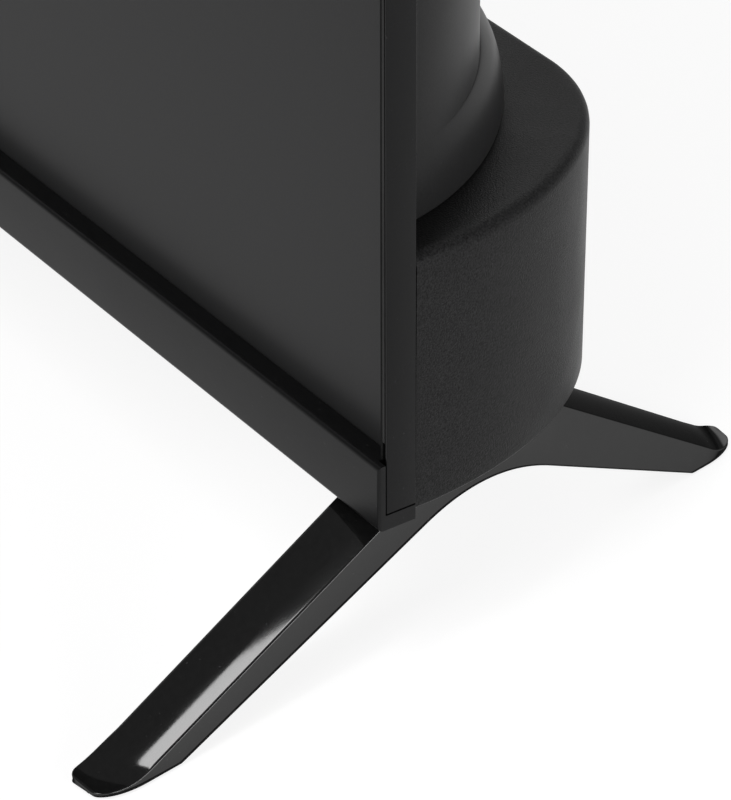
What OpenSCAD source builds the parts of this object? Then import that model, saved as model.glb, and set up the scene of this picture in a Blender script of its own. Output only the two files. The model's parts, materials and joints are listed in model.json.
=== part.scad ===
// Flat screen television standing on two splayed feet.
// Front faces -Y, +Z is up, the origin lies on the table under the middle of the set.

/* [Picture panel] */
// Width of the lit picture
picture_w = 697.7; // [620:0.1:760]
// Height of the lit picture
picture_h = 392.3; // [360:0.1:430]
// Unlit border of the panel round the picture
picture_border = 6.5; // [5:0.5:12]
// Height of the lit picture above the bezel ledge
picture_lift = 5; // [4:0.5:10]
// Thickness of the panel glass with its polarisers
glass_t = 1.6; // [1.2:0.1:2.4]
// Depth of the glass behind the front edge of the side strips
screen_recess = 3.7; // [2.5:0.1:4.5]
// Depth that the glass reaches down behind the bezel ledge
glass_tuck = 5; // [3:0.5:6]

/* [Frame strips] */
// Metal thickness of the side and top strips
strip_wall = 0.8; // [0.6:0.1:1.2]
// Depth of the side and top strips, front to back
strip_d = 7.8; // [7.4:0.1:9]
// Width of the return behind the panel frame
strip_return = 1.6; // [1:0.1:1.8]
// Groove between strip and inner lip
lip_groove = 0.3; // [0.2:0.1:0.6]
// Thickness of the inner lip
lip_wall = 0.9; // [0.7:0.1:1.4]
// Gap between inner lip and glass
glass_gap = 0.5; // [0.3:0.1:0.8]
// Height above the bezel at which the inner lip stops
lip_stop = 5; // [3:0.5:8]
// Width of the shelf that carries the glass
shelf_w = 6; // [5:0.5:6.5]
// Thickness of the shelf that carries the glass
shelf_t = 1.4; // [1:0.1:1.8]

/* [Bottom bezel] */
// Height of the bottom bezel
bezel_h = 17.1; // [15:0.1:22]
// How far the bezel stands in front of the side strips
bezel_proud = 2.2; // [1.6:0.1:4]
// Wall thickness of the bezel
bezel_wall = 2; // [1.6:0.1:2.4]
// Height of the bezel's end blocks under the side strips
bezel_block_h = 4.1; // [3.6:0.1:5]
// Length of the bezel's end blocks
bezel_block_w = 3; // [2:0.5:6]
// Chamfer along the lower front edge of the bezel
bezel_chamfer = 1; // [0.4:0.1:1.4]
// Radius along the upper front edge of the bezel
bezel_radius = 1.2; // [0.6:0.1:1.6]

/* [Backlight] */
// Thickness of the stack of optical films
films_t = 0.8; // [0.5:0.1:1]
// Thickness of the diffuser plate
diffuser_t = 1.5; // [1.2:0.1:2]
// Sheet metal thickness of the back chassis
sheet_t = 0.8; // [0.6:0.1:1.2]
// Depth of the light tray in the back chassis
tray_d = 22; // [18:0.5:24]
// Width of the chassis rim round the light tray
rim_w = 11; // [10:0.5:12]
// Run of the tray's sloped side and top walls
tray_slope = 30; // [26:1:36]
// Run of the tray's sloped lower wall
tray_slope_low = 8; // [6:0.5:12]
// Number of light bars
bar_count = 3; // [2:1:4]
// Number of lenses on a light bar
lens_count = 7; // [5:1:8]
// Height of a light bar's strip
bar_h = 14; // [12:1:20]
// Thickness of a light bar's strip
bar_t = 1; // [0.8:0.1:1.6]
// Radius of a lens
lens_r = 7.5; // [6:0.5:9]
// Height of a lens
lens_h = 5; // [4:0.5:6]
// Thickness of the white reflector sheet
reflector_t = 0.4; // [0.3:0.1:0.6]

/* [Rear housing] */
// Height of the lower rear housing
housing_h = 65.4; // [60:0.2:74]
// Depth of the housing behind the frame
housing_d = 78; // [74:0.2:84]
// Height of the housing's underside above the bezel's underside
housing_lift = 2.2; // [1:0.1:4]
// Run of the curved corners along the width
housing_corner = 55; // [48:0.5:60]
// Wall thickness of the housing
housing_wall = 2.5; // [2:0.1:2.6]
// Radius along the housing's upper edge
housing_radius = 3; // [2:0.2:4]
// How much narrower each side is at the foot of the housing
housing_draft = 0.4; // [0.2:0.1:1]
// Gap between housing and frame strips
housing_gap = 0.3; // [0.2:0.1:0.6]
// Width of the ledge that reaches in under the upper cover
ledge_tuck = 4; // [3:0.5:6]

/* [Upper rear cover] */
// Depth of the cover's skirt behind the frame
cover_d = 72.5; // [69:0.5:74]
// How far the cover steps in above its skirt
cover_step = 9.5; // [7:0.5:10]
// Height of the skirt's shoulder
shoulder_h = 18; // [14:1:30]
// Distance from the frame's outer side to the cover's wall
cover_inset = 10; // [9.8:0.1:12]
// Run of the curved sides along the width
cover_corner = 80; // [70:0.5:90]
// Fullness of the curved sides, 2 is an ellipse
cover_fullness = 1.8; // [1.7:0.05:2.2]
// Run of the sloping top
cover_top_run = 170; // [150:1:185]
// Wall thickness of the cover
cover_wall = 2.2; // [1.8:0.1:2.6]
// Margin from the frame's outer side to the cover's flange
flange_margin = 1.5; // [1:0.1:2]
// The same margin beside the lower part of the cover
flange_tuck = 4.2; // [3.8:0.1:4.8]
// Dark seam between cover and housing
seam_gap = 0.4; // [0.2:0.1:0.6]

/* [Vents] */
// Number of vent slots in the upper cover
vent_count = 22; // [12:1:26]
// Width of a vent slot
vent_w = 3; // [2:0.2:3.4]
// Length of a vent slot
vent_l = 22; // [12:1:28]
// Spacing of the vent slots
vent_pitch = 7; // [6:0.2:7.4]
// Height of the vent row above the middle of the wall mount
vent_lift = 30; // [20:1:36]

/* [Wall mount] */
// Distance between wall mount holes across the width
wall_mount_x = 200; // [100:100:200]
// Distance between wall mount holes up the height
wall_mount_z = 100; // [75:25:100]
// Height of the wall mount's middle above the housing
wall_mount_lift = 105; // [100:1:112]
// Radius of a wall mount post
post_r = 6; // [5:0.5:7]
// Radius of the threaded hole in a post
post_hole_r = 2; // [2:0.5:3]
// Depth of the threaded hole in a post
post_hole_d = 12; // [10:1:16]

/* [Boards] */
// Width of the main board and the power board
board_w = 170; // [164:1:174]
// Height of the main board and the power board
board_h = 80; // [74:1:82]
// Thickness of a circuit board
board_t = 1.6; // [1.2:0.1:2]
// Distance from the set's middle to a board
board_from_middle = 25; // [16:1:30]
// Height of the standoffs behind the chassis
standoff_h = 6; // [5:0.5:8]
// Radius of a standoff
standoff_r = 4; // [3.5:0.5:4.5]
// Distance of a standoff from the board's edges
standoff_in = 6; // [5.5:0.5:8]
// Depth of the sockets behind the boards
socket_d = 22; // [20:0.5:26]
// Clearance round the sockets in the socket bay
socket_gap = 0.3; // [0.2:0.1:0.5]
// Height of the sockets' middle above the housing's underside
socket_lift = 40; // [38:1:42]
// Height of the socket bay
bay_h = 34; // [30:1:36]
// Wall thickness of the socket bays
bay_wall = 1.6; // [1.2:0.1:2]

/* [Speakers] */
// Width of a speaker box
speaker_w = 100; // [80:1:104]
// Depth of a speaker box
speaker_d = 40; // [40:1:44]
// Height of a speaker box
speaker_h = 20; // [18:1:20]
// Wall thickness of a speaker box
speaker_wall = 2; // [1.6:0.1:2.4]
// Radius of the speaker cone's rim
cone_r = 16; // [13:0.5:16.5]
// Distance from the frame's outer side to a speaker box
speaker_inset = 52; // [50:1:54]

/* [Feet] */
// Height of the bezel's underside above the table
foot_h = 40; // [36:0.5:50]
// Angle by which the feet toe out
foot_yaw = 8.7; // [5:0.1:10]
// Distance from the frame's outer side to the middle of a foot
foot_inset = 20.8; // [20:0.1:22]
// Distance from the back of the frame strips to the middle of a foot
foot_set_back = 33.7; // [31:0.1:36]
// Width of a foot
foot_w = 14; // [12.5:0.5:15]
// Height of a foot's inner upper edge above its outer one
foot_crown = 3.4; // [1:0.1:4]
// Length of the flat that meets the housing, in front of the foot's middle
foot_flat_front = 19.8; // [17:0.1:22]
// Length of the flat that meets the housing, behind the foot's middle
foot_flat_rear = 17; // [16:0.1:20]
// Reach of the front leg
front_reach = 122; // [112:1:130]
// Reach of the rear leg
rear_reach = 82; // [76:0.5:90]
// Slope of the front leg's upper face
front_slope = 23.4; // [22:0.1:25]
// Slope of the rear leg's upper face
rear_slope = 34.6; // [33:0.1:37]
// Distance from the foot's middle to the front end of the arch
front_heel = 102; // [96:1:104]
// Distance from the foot's middle to the rear end of the arch
rear_heel = 66.5; // [60:0.5:68]
// Slope of the arch's front side
front_under = 20.4; // [18:0.1:20.6]
// Slope of the arch's rear side
rear_under = 27; // [25:0.5:28]
// Length over which the two sides of the arch round into each other
arch_blend = 17.6; // [10:0.2:24]
// Thickness of the toes
toe_t = 2.6; // [2.4:0.1:4]
// Length over which the toes narrow
toe_run = 12; // [9:0.5:16]
// Width of the toes' ends
toe_w = 8.5; // [8:0.1:10]
// Radius of the inner corner of the toes' ends
toe_corner = 2.6; // [2:0.1:3]
// Height of a toe's outer edge
toe_edge_t = 1.8; // [1.6:0.1:2.4]
// How far the inner side draws in towards the front toe
front_taper = 1; // [0:0.1:2]
// How far the inner side draws in towards the rear toe
rear_taper = 4; // [0:0.1:4]
// Radius along a foot's inner upper edge
foot_radius = 1.2; // [0.8:0.1:1.6]
// Thickness of the rubber pads
rubber_t = 0.8; // [0.5:0.1:1.2]
// Length of the rubber pads
rubber_l = 12; // [8:0.5:12]

/* [Fasteners] */
// Radius of the small screws' shanks
screw_r = 1.4; // [1.2:0.1:1.6]
// Radius of the small screws' heads
screw_head_r = 2.8; // [2.6:0.1:3]
// Height of the small screws' heads
screw_head_h = 1.8; // [1.4:0.1:2.2]
// Radius of the foot screws' shanks
foot_screw_r = 2; // [1.5:0.1:2.2]
// Radius of the foot screws' heads
foot_head_r = 3.8; // [3.4:0.1:4]
// Height of the foot screws' heads
foot_head_h = 2.6; // [2:0.1:3]
// Distance between the two screws of a foot
foot_screw_gap = 20; // [16:1:22]
// Clearance round a screw's shank where it passes through
shank_gap = 0.3; // [0.2:0.05:0.4]
// Clearance round a screw's shank where it is threaded
thread_gap = 0.05; // [0.03:0.01:0.1]

/* [Power button] */
// Width of the power button
button_w = 11.4; // [9:0.2:14]
// Depth of the power button, front to back
button_d = 3.4; // [2.6:0.1:3.8]
// How far the button stands out below the bezel
button_out = 1; // [0.9:0.1:1.5]
// Travel of the button
button_travel = 0.8; // [0.5:0.1:0.8]
// Clearance round the button
button_gap = 0.3; // [0.2:0.05:0.4]
// Distance of the button from the set's middle
button_x = 30; // [26:1:40]

/* [Hidden] */
$fn = 48;

// How far a cut runs past a face, and how far fused shapes run into each other
past = 1;
bite = 0.1;

// Places across the width and up the height
strip_edge = 0.3;
strip_in = strip_wall + lip_groove;
glass_in = strip_in + lip_wall + glass_gap;
half_w = picture_w / 2 + picture_border + glass_in;
base_z = foot_h;
bezel_top_z = base_z + bezel_h;
glass_z = bezel_top_z - glass_tuck;
glass_top_z = bezel_top_z + picture_lift + picture_h + picture_border;
top_z = glass_top_z + glass_in;
frame_gap = 0.5;
frame_lip = 1.2;
frame_z = glass_z - frame_gap - frame_lip;

// Places front to back
pad_y = ((front_reach - rear_reach) * cos(foot_yaw) + (foot_w - toe_corner - toe_w - front_taper) * sin(foot_yaw)) / 2;
frame_back_y = pad_y - foot_set_back;
lip_y = frame_back_y - strip_d;
lip_set_back = 0.2;
bezel_y = lip_y - bezel_proud;
glass_y = lip_y + screen_recess;
shelf_y = glass_y + glass_t;
films_y = shelf_y + shelf_t;
diffuser_y = films_y + films_t;
rim_y = diffuser_y + diffuser_t;
rim_back_y = rim_y + sheet_t;
tray_back_y = rim_back_y + tray_d;
board_y = tray_back_y + standoff_h;
board_back_y = board_y + board_t;
bay_y = board_back_y + socket_d;
ledge_gap = 0.3;

// Rear housing and upper cover
housing_z = base_z + housing_lift;
housing_floor_z = housing_z + housing_wall;
housing_top_z = housing_z + housing_h;
housing_y = frame_back_y + housing_gap;
housing_back_y = housing_y + housing_d;
housing_lead = 0.2;
cover_z = housing_top_z + seam_gap;
cover_top_z = top_z - cover_inset;
cover_bend_z = cover_top_z - cover_top_run;
flange_back_y = rim_back_y + cover_wall;
cover_centre_x = half_w - cover_inset - cover_corner;
shoulder_drop = 1.3 * cover_step;
shoulder_blend = 2;
shoulder_rise = 4;
shoulder_shift = 0.75;
flange_lip = 0.8;
flange_turn_z = cover_z + 0.22 * (top_z - cover_z);
flange_turn_run = 15;
corner_steps = 12;

// Chassis rim and light tray
rim_clear = 2.1;
rim_gap = housing_wall + housing_draft + rim_clear;
behind_rim_y = rim_back_y + 0.75 * rim_clear;
rim_x = half_w - rim_gap;
rim_drop = 3;
rim_z = frame_z - rim_drop;
rim_top_z = top_z - rim_gap;
tray_x = rim_x - rim_w;
tray_z = rim_z + rim_w;
tray_top_z = rim_top_z - rim_w;
tray_floor_z = tray_z + tray_slope_low;
floor_x = tray_x - tray_slope;
floor_margin = 1;
bar_pitch = (tray_top_z - tray_z) / bar_count;
bar_margin = 4;
lens_margin = 0.4;
lens_pitch = 2 * floor_x / (lens_count + lens_margin);
bar_y = tray_back_y - sheet_t - bar_t;

// Boards and socket bays
board_lift = 2;
board_z = tray_floor_z + board_lift;
socket_z = housing_z + socket_lift;
bay_z = socket_z - bay_h / 2;
bay_margin = 8;
bay_gap = 0.2;
socket_bay_x = [-(board_from_middle + board_w - bay_margin), -(board_from_middle + bay_margin)];
inlet_from_edge = 34;
inlet_x = board_from_middle + board_w - inlet_from_edge;
inlet_bay_w = 44;
inlet_bay_x = [inlet_x - inlet_bay_w / 2, inlet_x + inlet_bay_w / 2];

// Sockets in a row, each at a distance from the bay's inner end
function socket_at(distance) = socket_bay_x[1] - distance;
ribbon_x = socket_at(11);
video_pitch = 21;
video_xs = [for (k = [0:2]) socket_at(30 + k * video_pitch)];
data_x = socket_at(92);
network_x = socket_at(113);
audio_x = socket_at(130);
aerial_x = socket_at(144);
video_size = [15.4, 6.2];
data_size = [14.6, 7.2];
network_size = [16, 14];
audio_r = 4;
aerial_r = 5;
inlet_size = [26, 17];

// Parts and plugs on the boards
heatsink_w = 36;
heatsink_x = -(board_from_middle + board_w * 0.65);
chip_z = board_z + board_h - 24;
power_part_z = board_z + board_h / 2 + 14;
transformer_x = board_from_middle + board_w * 0.45;
source_plug_h = 1.8;
wire_r = 1;
wire_plug = [12, 6];
wire_plug_h = 5;
wire_plug_y = board_back_y + wire_plug_h / 2;
wire_plug_z = board_z + board_h - 8;
plug_from_edge = 40;
speaker_plug_x = -(board_from_middle + plug_from_edge);
led_plug_x = board_from_middle + plug_from_edge;
ribbon_w = 12;
ribbon_plug_h = 2.4;
ribbon_plug_z = board_z + 7;

// Wall mount, speakers and the wells of the housing screws
wall_mount_mid_z = housing_top_z + wall_mount_lift;
post_end_gap = 0.5;
post_gap = 0.3;
speaker_gap = 2.6;
speaker_y = tray_back_y + speaker_gap;
speaker_x = half_w - speaker_inset - speaker_w / 2;
speaker_mid_y = speaker_y + speaker_d / 2;
head_gap = 0.4;
well_r = screw_head_r + head_gap;
well_wall = 1.6;
well_floor = 2;
screw_end_gap = 1;
well_drop = 12;
well_z = housing_top_z - well_drop;
well_side_x = floor_x - standoff_r - floor_margin;
well_bite = 2;
well_xs = [-well_side_x, 0, well_side_x];

// Feet
pad_x = half_w - foot_inset;
foot_steps = 34;
foot_edge = 0.3;
crown_steps = 4;
crown_power = 1.6;
foot_seat = 6;
foot_screw_z = housing_z - foot_seat;
bracket_t = 4;
bracket_margin = 5;
bracket_l = foot_screw_gap + 2 * bracket_margin;
bracket_w = 12;
bracket_in = 2;

// Button and remote receiver
plate_z = base_z + bezel_wall;
button_set_back = 3.4;
button_y = bezel_y + bezel_wall + button_set_back;
button_flange = 1;
button_flange_t = 1;
key_z = plate_z + button_gap + button_flange_t + button_travel + button_gap;
key_plunger = 0.8;
key_body_h = 1.8;
key_board_t = 1;
key_board_w = 26;
key_post_w = 2.4;
key_board_z = key_z + key_plunger + key_body_h;
window_w = 20;
window_h = 5;
window_z = base_z + bezel_h / 2;
window_gap = 0.1;
window_rim = 1;
window_rim_t = 0.8;

// Box between two corners
module block(low, high) {
    translate(low)
        cube(high - low);
}

// Box that is symmetric about the middle of the set
module wide_block(half, low_y, high_y, low_z, high_z) {
    block([-half, low_y, low_z], [half, high_y, high_z]);
}

// Round bar that runs backwards from a point
module rod_back(at, r, length) {
    translate(at)
        rotate([-90, 0, 0])
            cylinder(r = r, h = length);
}

// Two triangles of a grid cell, wound so that the grid's outer side faces out
function cell(a, b, c, d) = [[a, b, c], [a, c, d]];

// Closed wall between an outer and an inner grid of points
module wall_between(outer, inner) {
    rows = len(outer);
    cols = len(outer[0]);
    n = rows * cols;
    points = concat([for (row = outer) each row], [for (row = inner) each row]);
    faces = [
        for (i = [0:rows - 2], j = [0:cols - 2])
            let (a = i * cols + j)
                each concat(
                    cell(a, a + cols, a + cols + 1, a + 1),
                    cell(a + n, a + 1 + n, a + cols + 1 + n, a + cols + n)
                ),
        for (i = [0:rows - 2])
            let (a = i * cols, b = a + cols - 1)
                each concat(
                    cell(a, a + n, a + cols + n, a + cols),
                    cell(b, b + cols, b + cols + n, b + n)
                ),
        for (j = [0:cols - 2])
            let (a = j, b = (rows - 1) * cols + j)
                each concat(
                    cell(a, a + 1, a + 1 + n, a + n),
                    cell(b, b + n, b + 1 + n, b + 1)
                )
    ];
    polyhedron(points, faces, convexity = 10);
}

// Solid skinned over a row of closed rings, each wound anticlockwise as seen from the first ring's side
module skin(rings) {
    rows = len(rings);
    n = len(rings[0]);
    faces = concat(
        [[for (j = [n - 1:-1:0]) j]],
        [for (i = [0:rows - 2], j = [0:n - 1])
            let (a = i * n + j, b = i * n + (j + 1) % n)
                each cell(a, b, b + n, a + n)],
        [[for (j = [0:n - 1]) (rows - 1) * n + j]]
    );
    polyhedron([for (ring = rings) each ring], faces, convexity = 10);
}

// Right half of an outline followed by its mirror image
function both_sides(points) = concat(
    points,
    [for (k = [len(points) - 1:-1:0]) [-points[k][0], points[k][1], points[k][2]]]
);

// Steps of a curved corner from the side to the rear, as shares of its two runs
function corner_share(fullness) = [
    for (k = [0:corner_steps])
        let (a = 90 * k / corner_steps)
            [1 - pow(cos(a), 2 / fullness), pow(sin(a), 2 / fullness)]
];

// Smaller or larger of two values with a rounded change over
function smooth_min(a, b, k) = let (h = max(k - abs(a - b), 0) / k) min(a, b) - h * h * k / 4;
function smooth_max(a, b, k) = -smooth_min(-a, -b, k);

// Round wire of eight sides along a list of points
module wire(points, r) {
    last = len(points) - 1;
    function unit(v) = v / norm(v);
    rings = [
        for (i = [0:last])
            let (
                d = unit(points[min(i + 1, last)] - points[max(i - 1, 0)]),
                side = unit(abs(d[2]) > 0.9 ? cross(d, [0, 1, 0]) : cross(d, [0, 0, 1])),
                up = cross(side, d)
            )
                [for (k = [0:7]) points[i] + r * (cos(45 * k) * side + sin(45 * k) * up)]
    ];
    skin(rings);
}

// Picture panel and backlight

module screen_panel() {
    color("#15171a")
        wide_block(half_w - glass_in, glass_y, shelf_y, glass_z, glass_top_z);
}

// Frame that carries the glass, with a lip standing beside it on three sides
module panel_frame() {
    outer_x = half_w - strip_in;
    pocket_x = outer_x - lip_wall;
    pocket_top_z = top_z - strip_in - lip_wall;
    window_x = pocket_x - shelf_w;
    color("#101010")
        difference() {
            wide_block(outer_x, lip_y + lip_set_back, films_y, frame_z, top_z - strip_in);
            wide_block(pocket_x, bezel_y, shelf_y, glass_z - frame_gap, pocket_top_z);
            wide_block(window_x, bezel_y, diffuser_y, glass_z + shelf_w, pocket_top_z - shelf_w);
            wide_block(half_w, bezel_y, glass_y, base_z, bezel_top_z + lip_stop);
        }
}

// Sheet in the light path, as large as the chassis rim's ledge
module light_sheet(low_y, high_y, inset) {
    wide_block(rim_x - inset, low_y, high_y, rim_z + inset, rim_top_z - inset);
}

module optical_films() {
    inset = 1.2;
    notch_w = 8;
    notch_h = 3;
    notch_from_side = 16;
    color("#e8ecef")
        difference() {
            light_sheet(films_y, diffuser_y, inset);
            for (side = [-1, 1])
                translate([side * (rim_x - notch_from_side), 0, rim_top_z])
                    wide_block(notch_w / 2, films_y - past, diffuser_y + past, -notch_h, past);
        }
}

module diffuser_plate() {
    inset = 0.7;
    notch = 6;
    color("#f3f4f2")
        difference() {
            light_sheet(diffuser_y, rim_y, inset);
            for (side = [-1, 1])
                translate([side * rim_x, 0, rim_z])
                    wide_block(notch, diffuser_y - past, rim_y + past, -past, notch);
        }
}

// Rectangle of four corners at one depth, wound for a skin that runs backwards
function tray_ring(x, low_z, high_z, y) = [[-x, y, low_z], [x, y, low_z], [x, y, high_z], [-x, y, high_z]];

// Opening of the light tray at a distance back, smaller by the sheets that line it
function tray_ring_at(y, less) =
    let (share = (y - rim_y) / (tray_back_y - sheet_t - rim_y))
        tray_ring(
            tray_x - tray_slope * share - less, tray_z + tray_slope_low * share + less,
            tray_top_z - tray_slope * share - less, y
        );

// Tapered space of the light tray, smaller by the sheets that line it
module tray_space(front_y, back_y, less) {
    skin([tray_ring_at(front_y, less), tray_ring_at(back_y, less)]);
}

// Middles of the lenses
function lens_places() = [
    for (i = [0:bar_count - 1], j = [0:lens_count - 1])
        [(j - (lens_count - 1) / 2) * lens_pitch, tray_z + (i + 0.5) * bar_pitch]
];

module reflector_sheet() {
    lens_gap = 0.6;
    lining_gap = 0.3;
    color("white")
        difference() {
            tray_space(rim_y + lining_gap, bar_y, lining_gap);
            tray_space(rim_y - lining_gap, bar_y - reflector_t, lining_gap + reflector_t);
            for (p = lens_places())
                rod_back([p[0], rim_y, p[1]], lens_r + lens_gap, tray_d);
        }
}

module led_bars() {
    color("#e9ece8")
        for (i = [0:bar_count - 1])
            translate([0, 0, tray_z + (i + 0.5) * bar_pitch])
                wide_block(floor_x - bar_margin, bar_y, bar_y + bar_t, -bar_h / 2, bar_h / 2);
}

// Domed lenses with a dimple at the top
module led_lenses() {
    dome_r = 1.25 * lens_r;
    dimple_r = 2.4;
    dimple_lift = 1;
    color("#dfe6ea")
        for (p = lens_places())
            translate([p[0], bar_y, p[1]])
                rotate([90, 0, 0])
                    difference() {
                        intersection() {
                            cylinder(r = lens_r, h = lens_h);
                            translate([0, 0, lens_h - dome_r])
                                sphere(r = dome_r);
                        }
                        translate([0, 0, lens_h + dimple_lift])
                            sphere(r = dimple_r);
                    }
}

// Places of a board's standoffs, on one side of the middle
function board_corners(side) = [
    for (x = [standoff_in, board_w - standoff_in], z = [standoff_in, board_h - standoff_in])
        [side * (board_from_middle + x), board_z + z]
];
function standoff_places() = concat(
    board_corners(-1), board_corners(1), [for (x = well_xs) [x, well_z]]
);
function post_places() = [
    for (x = [-1, 1], z = [-1, 1])
        [x * wall_mount_x / 2, wall_mount_mid_z + z * wall_mount_z / 2]
];

// Pressed steel tray with a flat rim, stiffening channels and standoffs
module back_chassis() {
    channel_w = 12;
    channel_d = 2;
    channel_lift = 60;
    channel_shares = [0.45, 0.75];
    mouth_gap = 0.2;
    color("#b9bdc0")
        difference() {
            union() {
                difference() {
                    union() {
                        light_sheet(rim_y, rim_back_y, 0);
                        tray_space(rim_back_y - sheet_t, tray_back_y, -sheet_t);
                    }
                    tray_space(rim_y - mouth_gap, tray_back_y - sheet_t, 0);
                }
                for (p = standoff_places())
                    rod_back([p[0], tray_back_y - sheet_t / 2, p[1]], standoff_r, standoff_h + sheet_t / 2);
                for (side = [-1, 1], share = channel_shares)
                    translate([side * share * tray_x, 0, 0])
                        wide_block(
                            channel_w / 2, tray_back_y - sheet_t / 2, tray_back_y + channel_d,
                            board_z + board_h + channel_lift, tray_top_z - 2 * tray_slope
                        );
            }
            for (p = standoff_places())
                rod_back([p[0], tray_back_y, p[1]], screw_r + thread_gap, standoff_h + past);
            for (p = flange_screws())
                rod_back([p[0], rim_y - past, p[1]], screw_r + thread_gap, sheet_t + 2 * past);
        }
}

module source_board() {
    half_length = 180;
    lift = 1;
    color("#1d5a34")
        wide_block(half_length, rim_back_y, rim_back_y + board_t, rim_z + lift, tray_z - lift);
    color("#e6e0cc")
        translate([ribbon_x, 0, 0])
            wide_block(
                ribbon_w / 2 + 1, rim_back_y + board_t, rim_back_y + board_t + source_plug_h,
                rim_z + 2 * lift, tray_z - 3 * lift
            );
}

// Casing

// Section of the bezel in depth and height, open at its back
function bezel_section() = [
    [bezel_y + bezel_chamfer, base_z],
    [frame_back_y, base_z],
    [frame_back_y, plate_z],
    [bezel_y + bezel_wall, plate_z],
    [bezel_y + bezel_wall, bezel_top_z - bezel_wall],
    [glass_y - ledge_gap, bezel_top_z - bezel_wall],
    [glass_y - ledge_gap, bezel_top_z],
    for (a = [0:15:90])
        [
            bezel_y + bezel_radius * (1 - sin(a)),
            bezel_top_z - bezel_radius * (1 - cos(a))
        ],
    [bezel_y, base_z + bezel_chamfer]
];

// Bezel section filled to its back, for the end blocks
function block_section() = [
    [bezel_y + bezel_chamfer, base_z],
    [frame_back_y, base_z],
    [frame_back_y, base_z + bezel_block_h],
    [glass_y - ledge_gap, base_z + bezel_block_h],
    [glass_y - ledge_gap, bezel_top_z],
    [bezel_y + bezel_radius, bezel_top_z],
    [bezel_y, bezel_top_z - bezel_radius],
    [bezel_y, base_z + bezel_chamfer]
];

// Section in depth and height drawn out along the width
module along_width(section, low_x, high_x) {
    translate([low_x, 0, 0])
        rotate([90, 0, 90])
            linear_extrude(high_x - low_x)
                polygon(section);
}

module bottom_bezel() {
    strip_gap = 0.15;
    post_root = 0.5;
    color("#1a1b1c")
        difference() {
            union() {
                along_width(bezel_section(), -half_w, half_w);
                along_width(block_section(), half_w - bezel_block_w, half_w);
                along_width(block_section(), -half_w, -half_w + bezel_block_w);
                for (side = [-1, 1])
                    translate([button_x + side * (key_board_w - key_post_w) / 2, button_y, 0])
                        block(
                            [-key_post_w / 2, -key_post_w / 2, plate_z - post_root],
                            [key_post_w / 2, key_post_w / 2, key_board_z]
                        );
            }
            for (side = [-1, 1])
                translate([side * half_w, 0, 0])
                    block(
                        [-strip_wall - strip_gap, lip_y - strip_gap, base_z + bezel_block_h - strip_gap],
                        [strip_wall + strip_gap, frame_back_y + past, top_z]
                    );
            translate([button_x, button_y, 0])
                block(
                    [-button_w / 2 - button_gap, -button_d / 2 - button_gap, base_z - past],
                    [button_w / 2 + button_gap, button_d / 2 + button_gap, plate_z + past]
                );
            translate([0, 0, window_z])
                wide_block(
                    window_w / 2 + window_gap, bezel_y - past, bezel_y + bezel_wall + past,
                    -window_h / 2 - window_gap, window_h / 2 + window_gap
                );
        }
}

// Thin strip with a return behind the panel frame, on the right side
module side_strip() {
    section = [
        [half_w - strip_wall, lip_y],
        [half_w - strip_edge, lip_y],
        [half_w, lip_y + strip_edge],
        [half_w, frame_back_y - strip_edge],
        [half_w - strip_edge, frame_back_y],
        [half_w - strip_wall - strip_return, frame_back_y],
        [half_w - strip_wall - strip_return, frame_back_y - strip_wall],
        [half_w - strip_wall, frame_back_y - strip_wall]
    ];
    translate([0, 0, base_z + bezel_block_h])
        color("#1c1d1e")
            linear_extrude(top_z - base_z - bezel_block_h)
                polygon(section);
}

module side_frame_right() {
    side_strip();
}

module side_frame_left() {
    mirror([1, 0, 0])
        side_strip();
}

// Strip along the top, between the two side strips
module top_frame() {
    end_gap = 0.1;
    length = half_w - strip_wall - strip_return - end_gap;
    section = [
        [lip_y, top_z - strip_wall],
        [lip_y, top_z - strip_edge],
        [lip_y + strip_edge, top_z],
        [frame_back_y - strip_edge, top_z],
        [frame_back_y, top_z - strip_edge],
        [frame_back_y, top_z - strip_wall - strip_return],
        [frame_back_y - strip_wall, top_z - strip_wall - strip_return],
        [frame_back_y - strip_wall, top_z - strip_wall]
    ];
    color("#1c1d1e")
        along_width(section, -length, length);
}

// Step of the skirt towards the upright wall at a height above the seam
function shoulder_in(h) = h >= shoulder_h
    ? cover_step
    : smooth_min(
        shoulder_drop * (1 - sqrt(1 - pow(h / shoulder_h, 2))), cover_step, shoulder_blend
    );

// Share of the full depth that the cover keeps at a height, nothing at the top
function dome(z, end_z) = z <= cover_bend_z
    ? 1
    : z >= end_z ? 0 : pow(1 - pow((z - cover_bend_z) / (end_z - cover_bend_z), 2), 0.5);

// Right half of the cover's outline at one height, a flange and then the curved side up to the rear
function cover_half(z, wall, start_y, end_z) =
    let (
        depth = (cover_d - shoulder_in(z - cover_z + shoulder_shift * wall) - wall) * dome(z, end_z),
        run = cover_corner - wall,
        wide = z > flange_turn_z
    )
        concat(
            [[
                half_w - (wide ? flange_margin : flange_tuck),
                wide ? start_y : min(start_y, rim_back_y + flange_lip),
                z
            ]],
            [for (s = corner_share(cover_fullness))
                [cover_centre_x + run * (1 - s[0]), max(start_y, frame_back_y + depth * s[1]), z]]
        );

// Heights at which the cover's outline is drawn
function cover_levels() = concat(
    [for (h = [0:0.125:1]) cover_z + shoulder_h * sin(90 * h)],
    [cover_z + shoulder_h + shoulder_rise, flange_turn_z, flange_turn_z + flange_turn_run, cover_bend_z],
    [for (a = [15:15:75]) cover_bend_z + cover_top_run * sin(a)],
    [cover_top_z - 2 * cover_wall, cover_top_z - cover_wall, cover_top_z, top_z - flange_margin]
);

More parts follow.
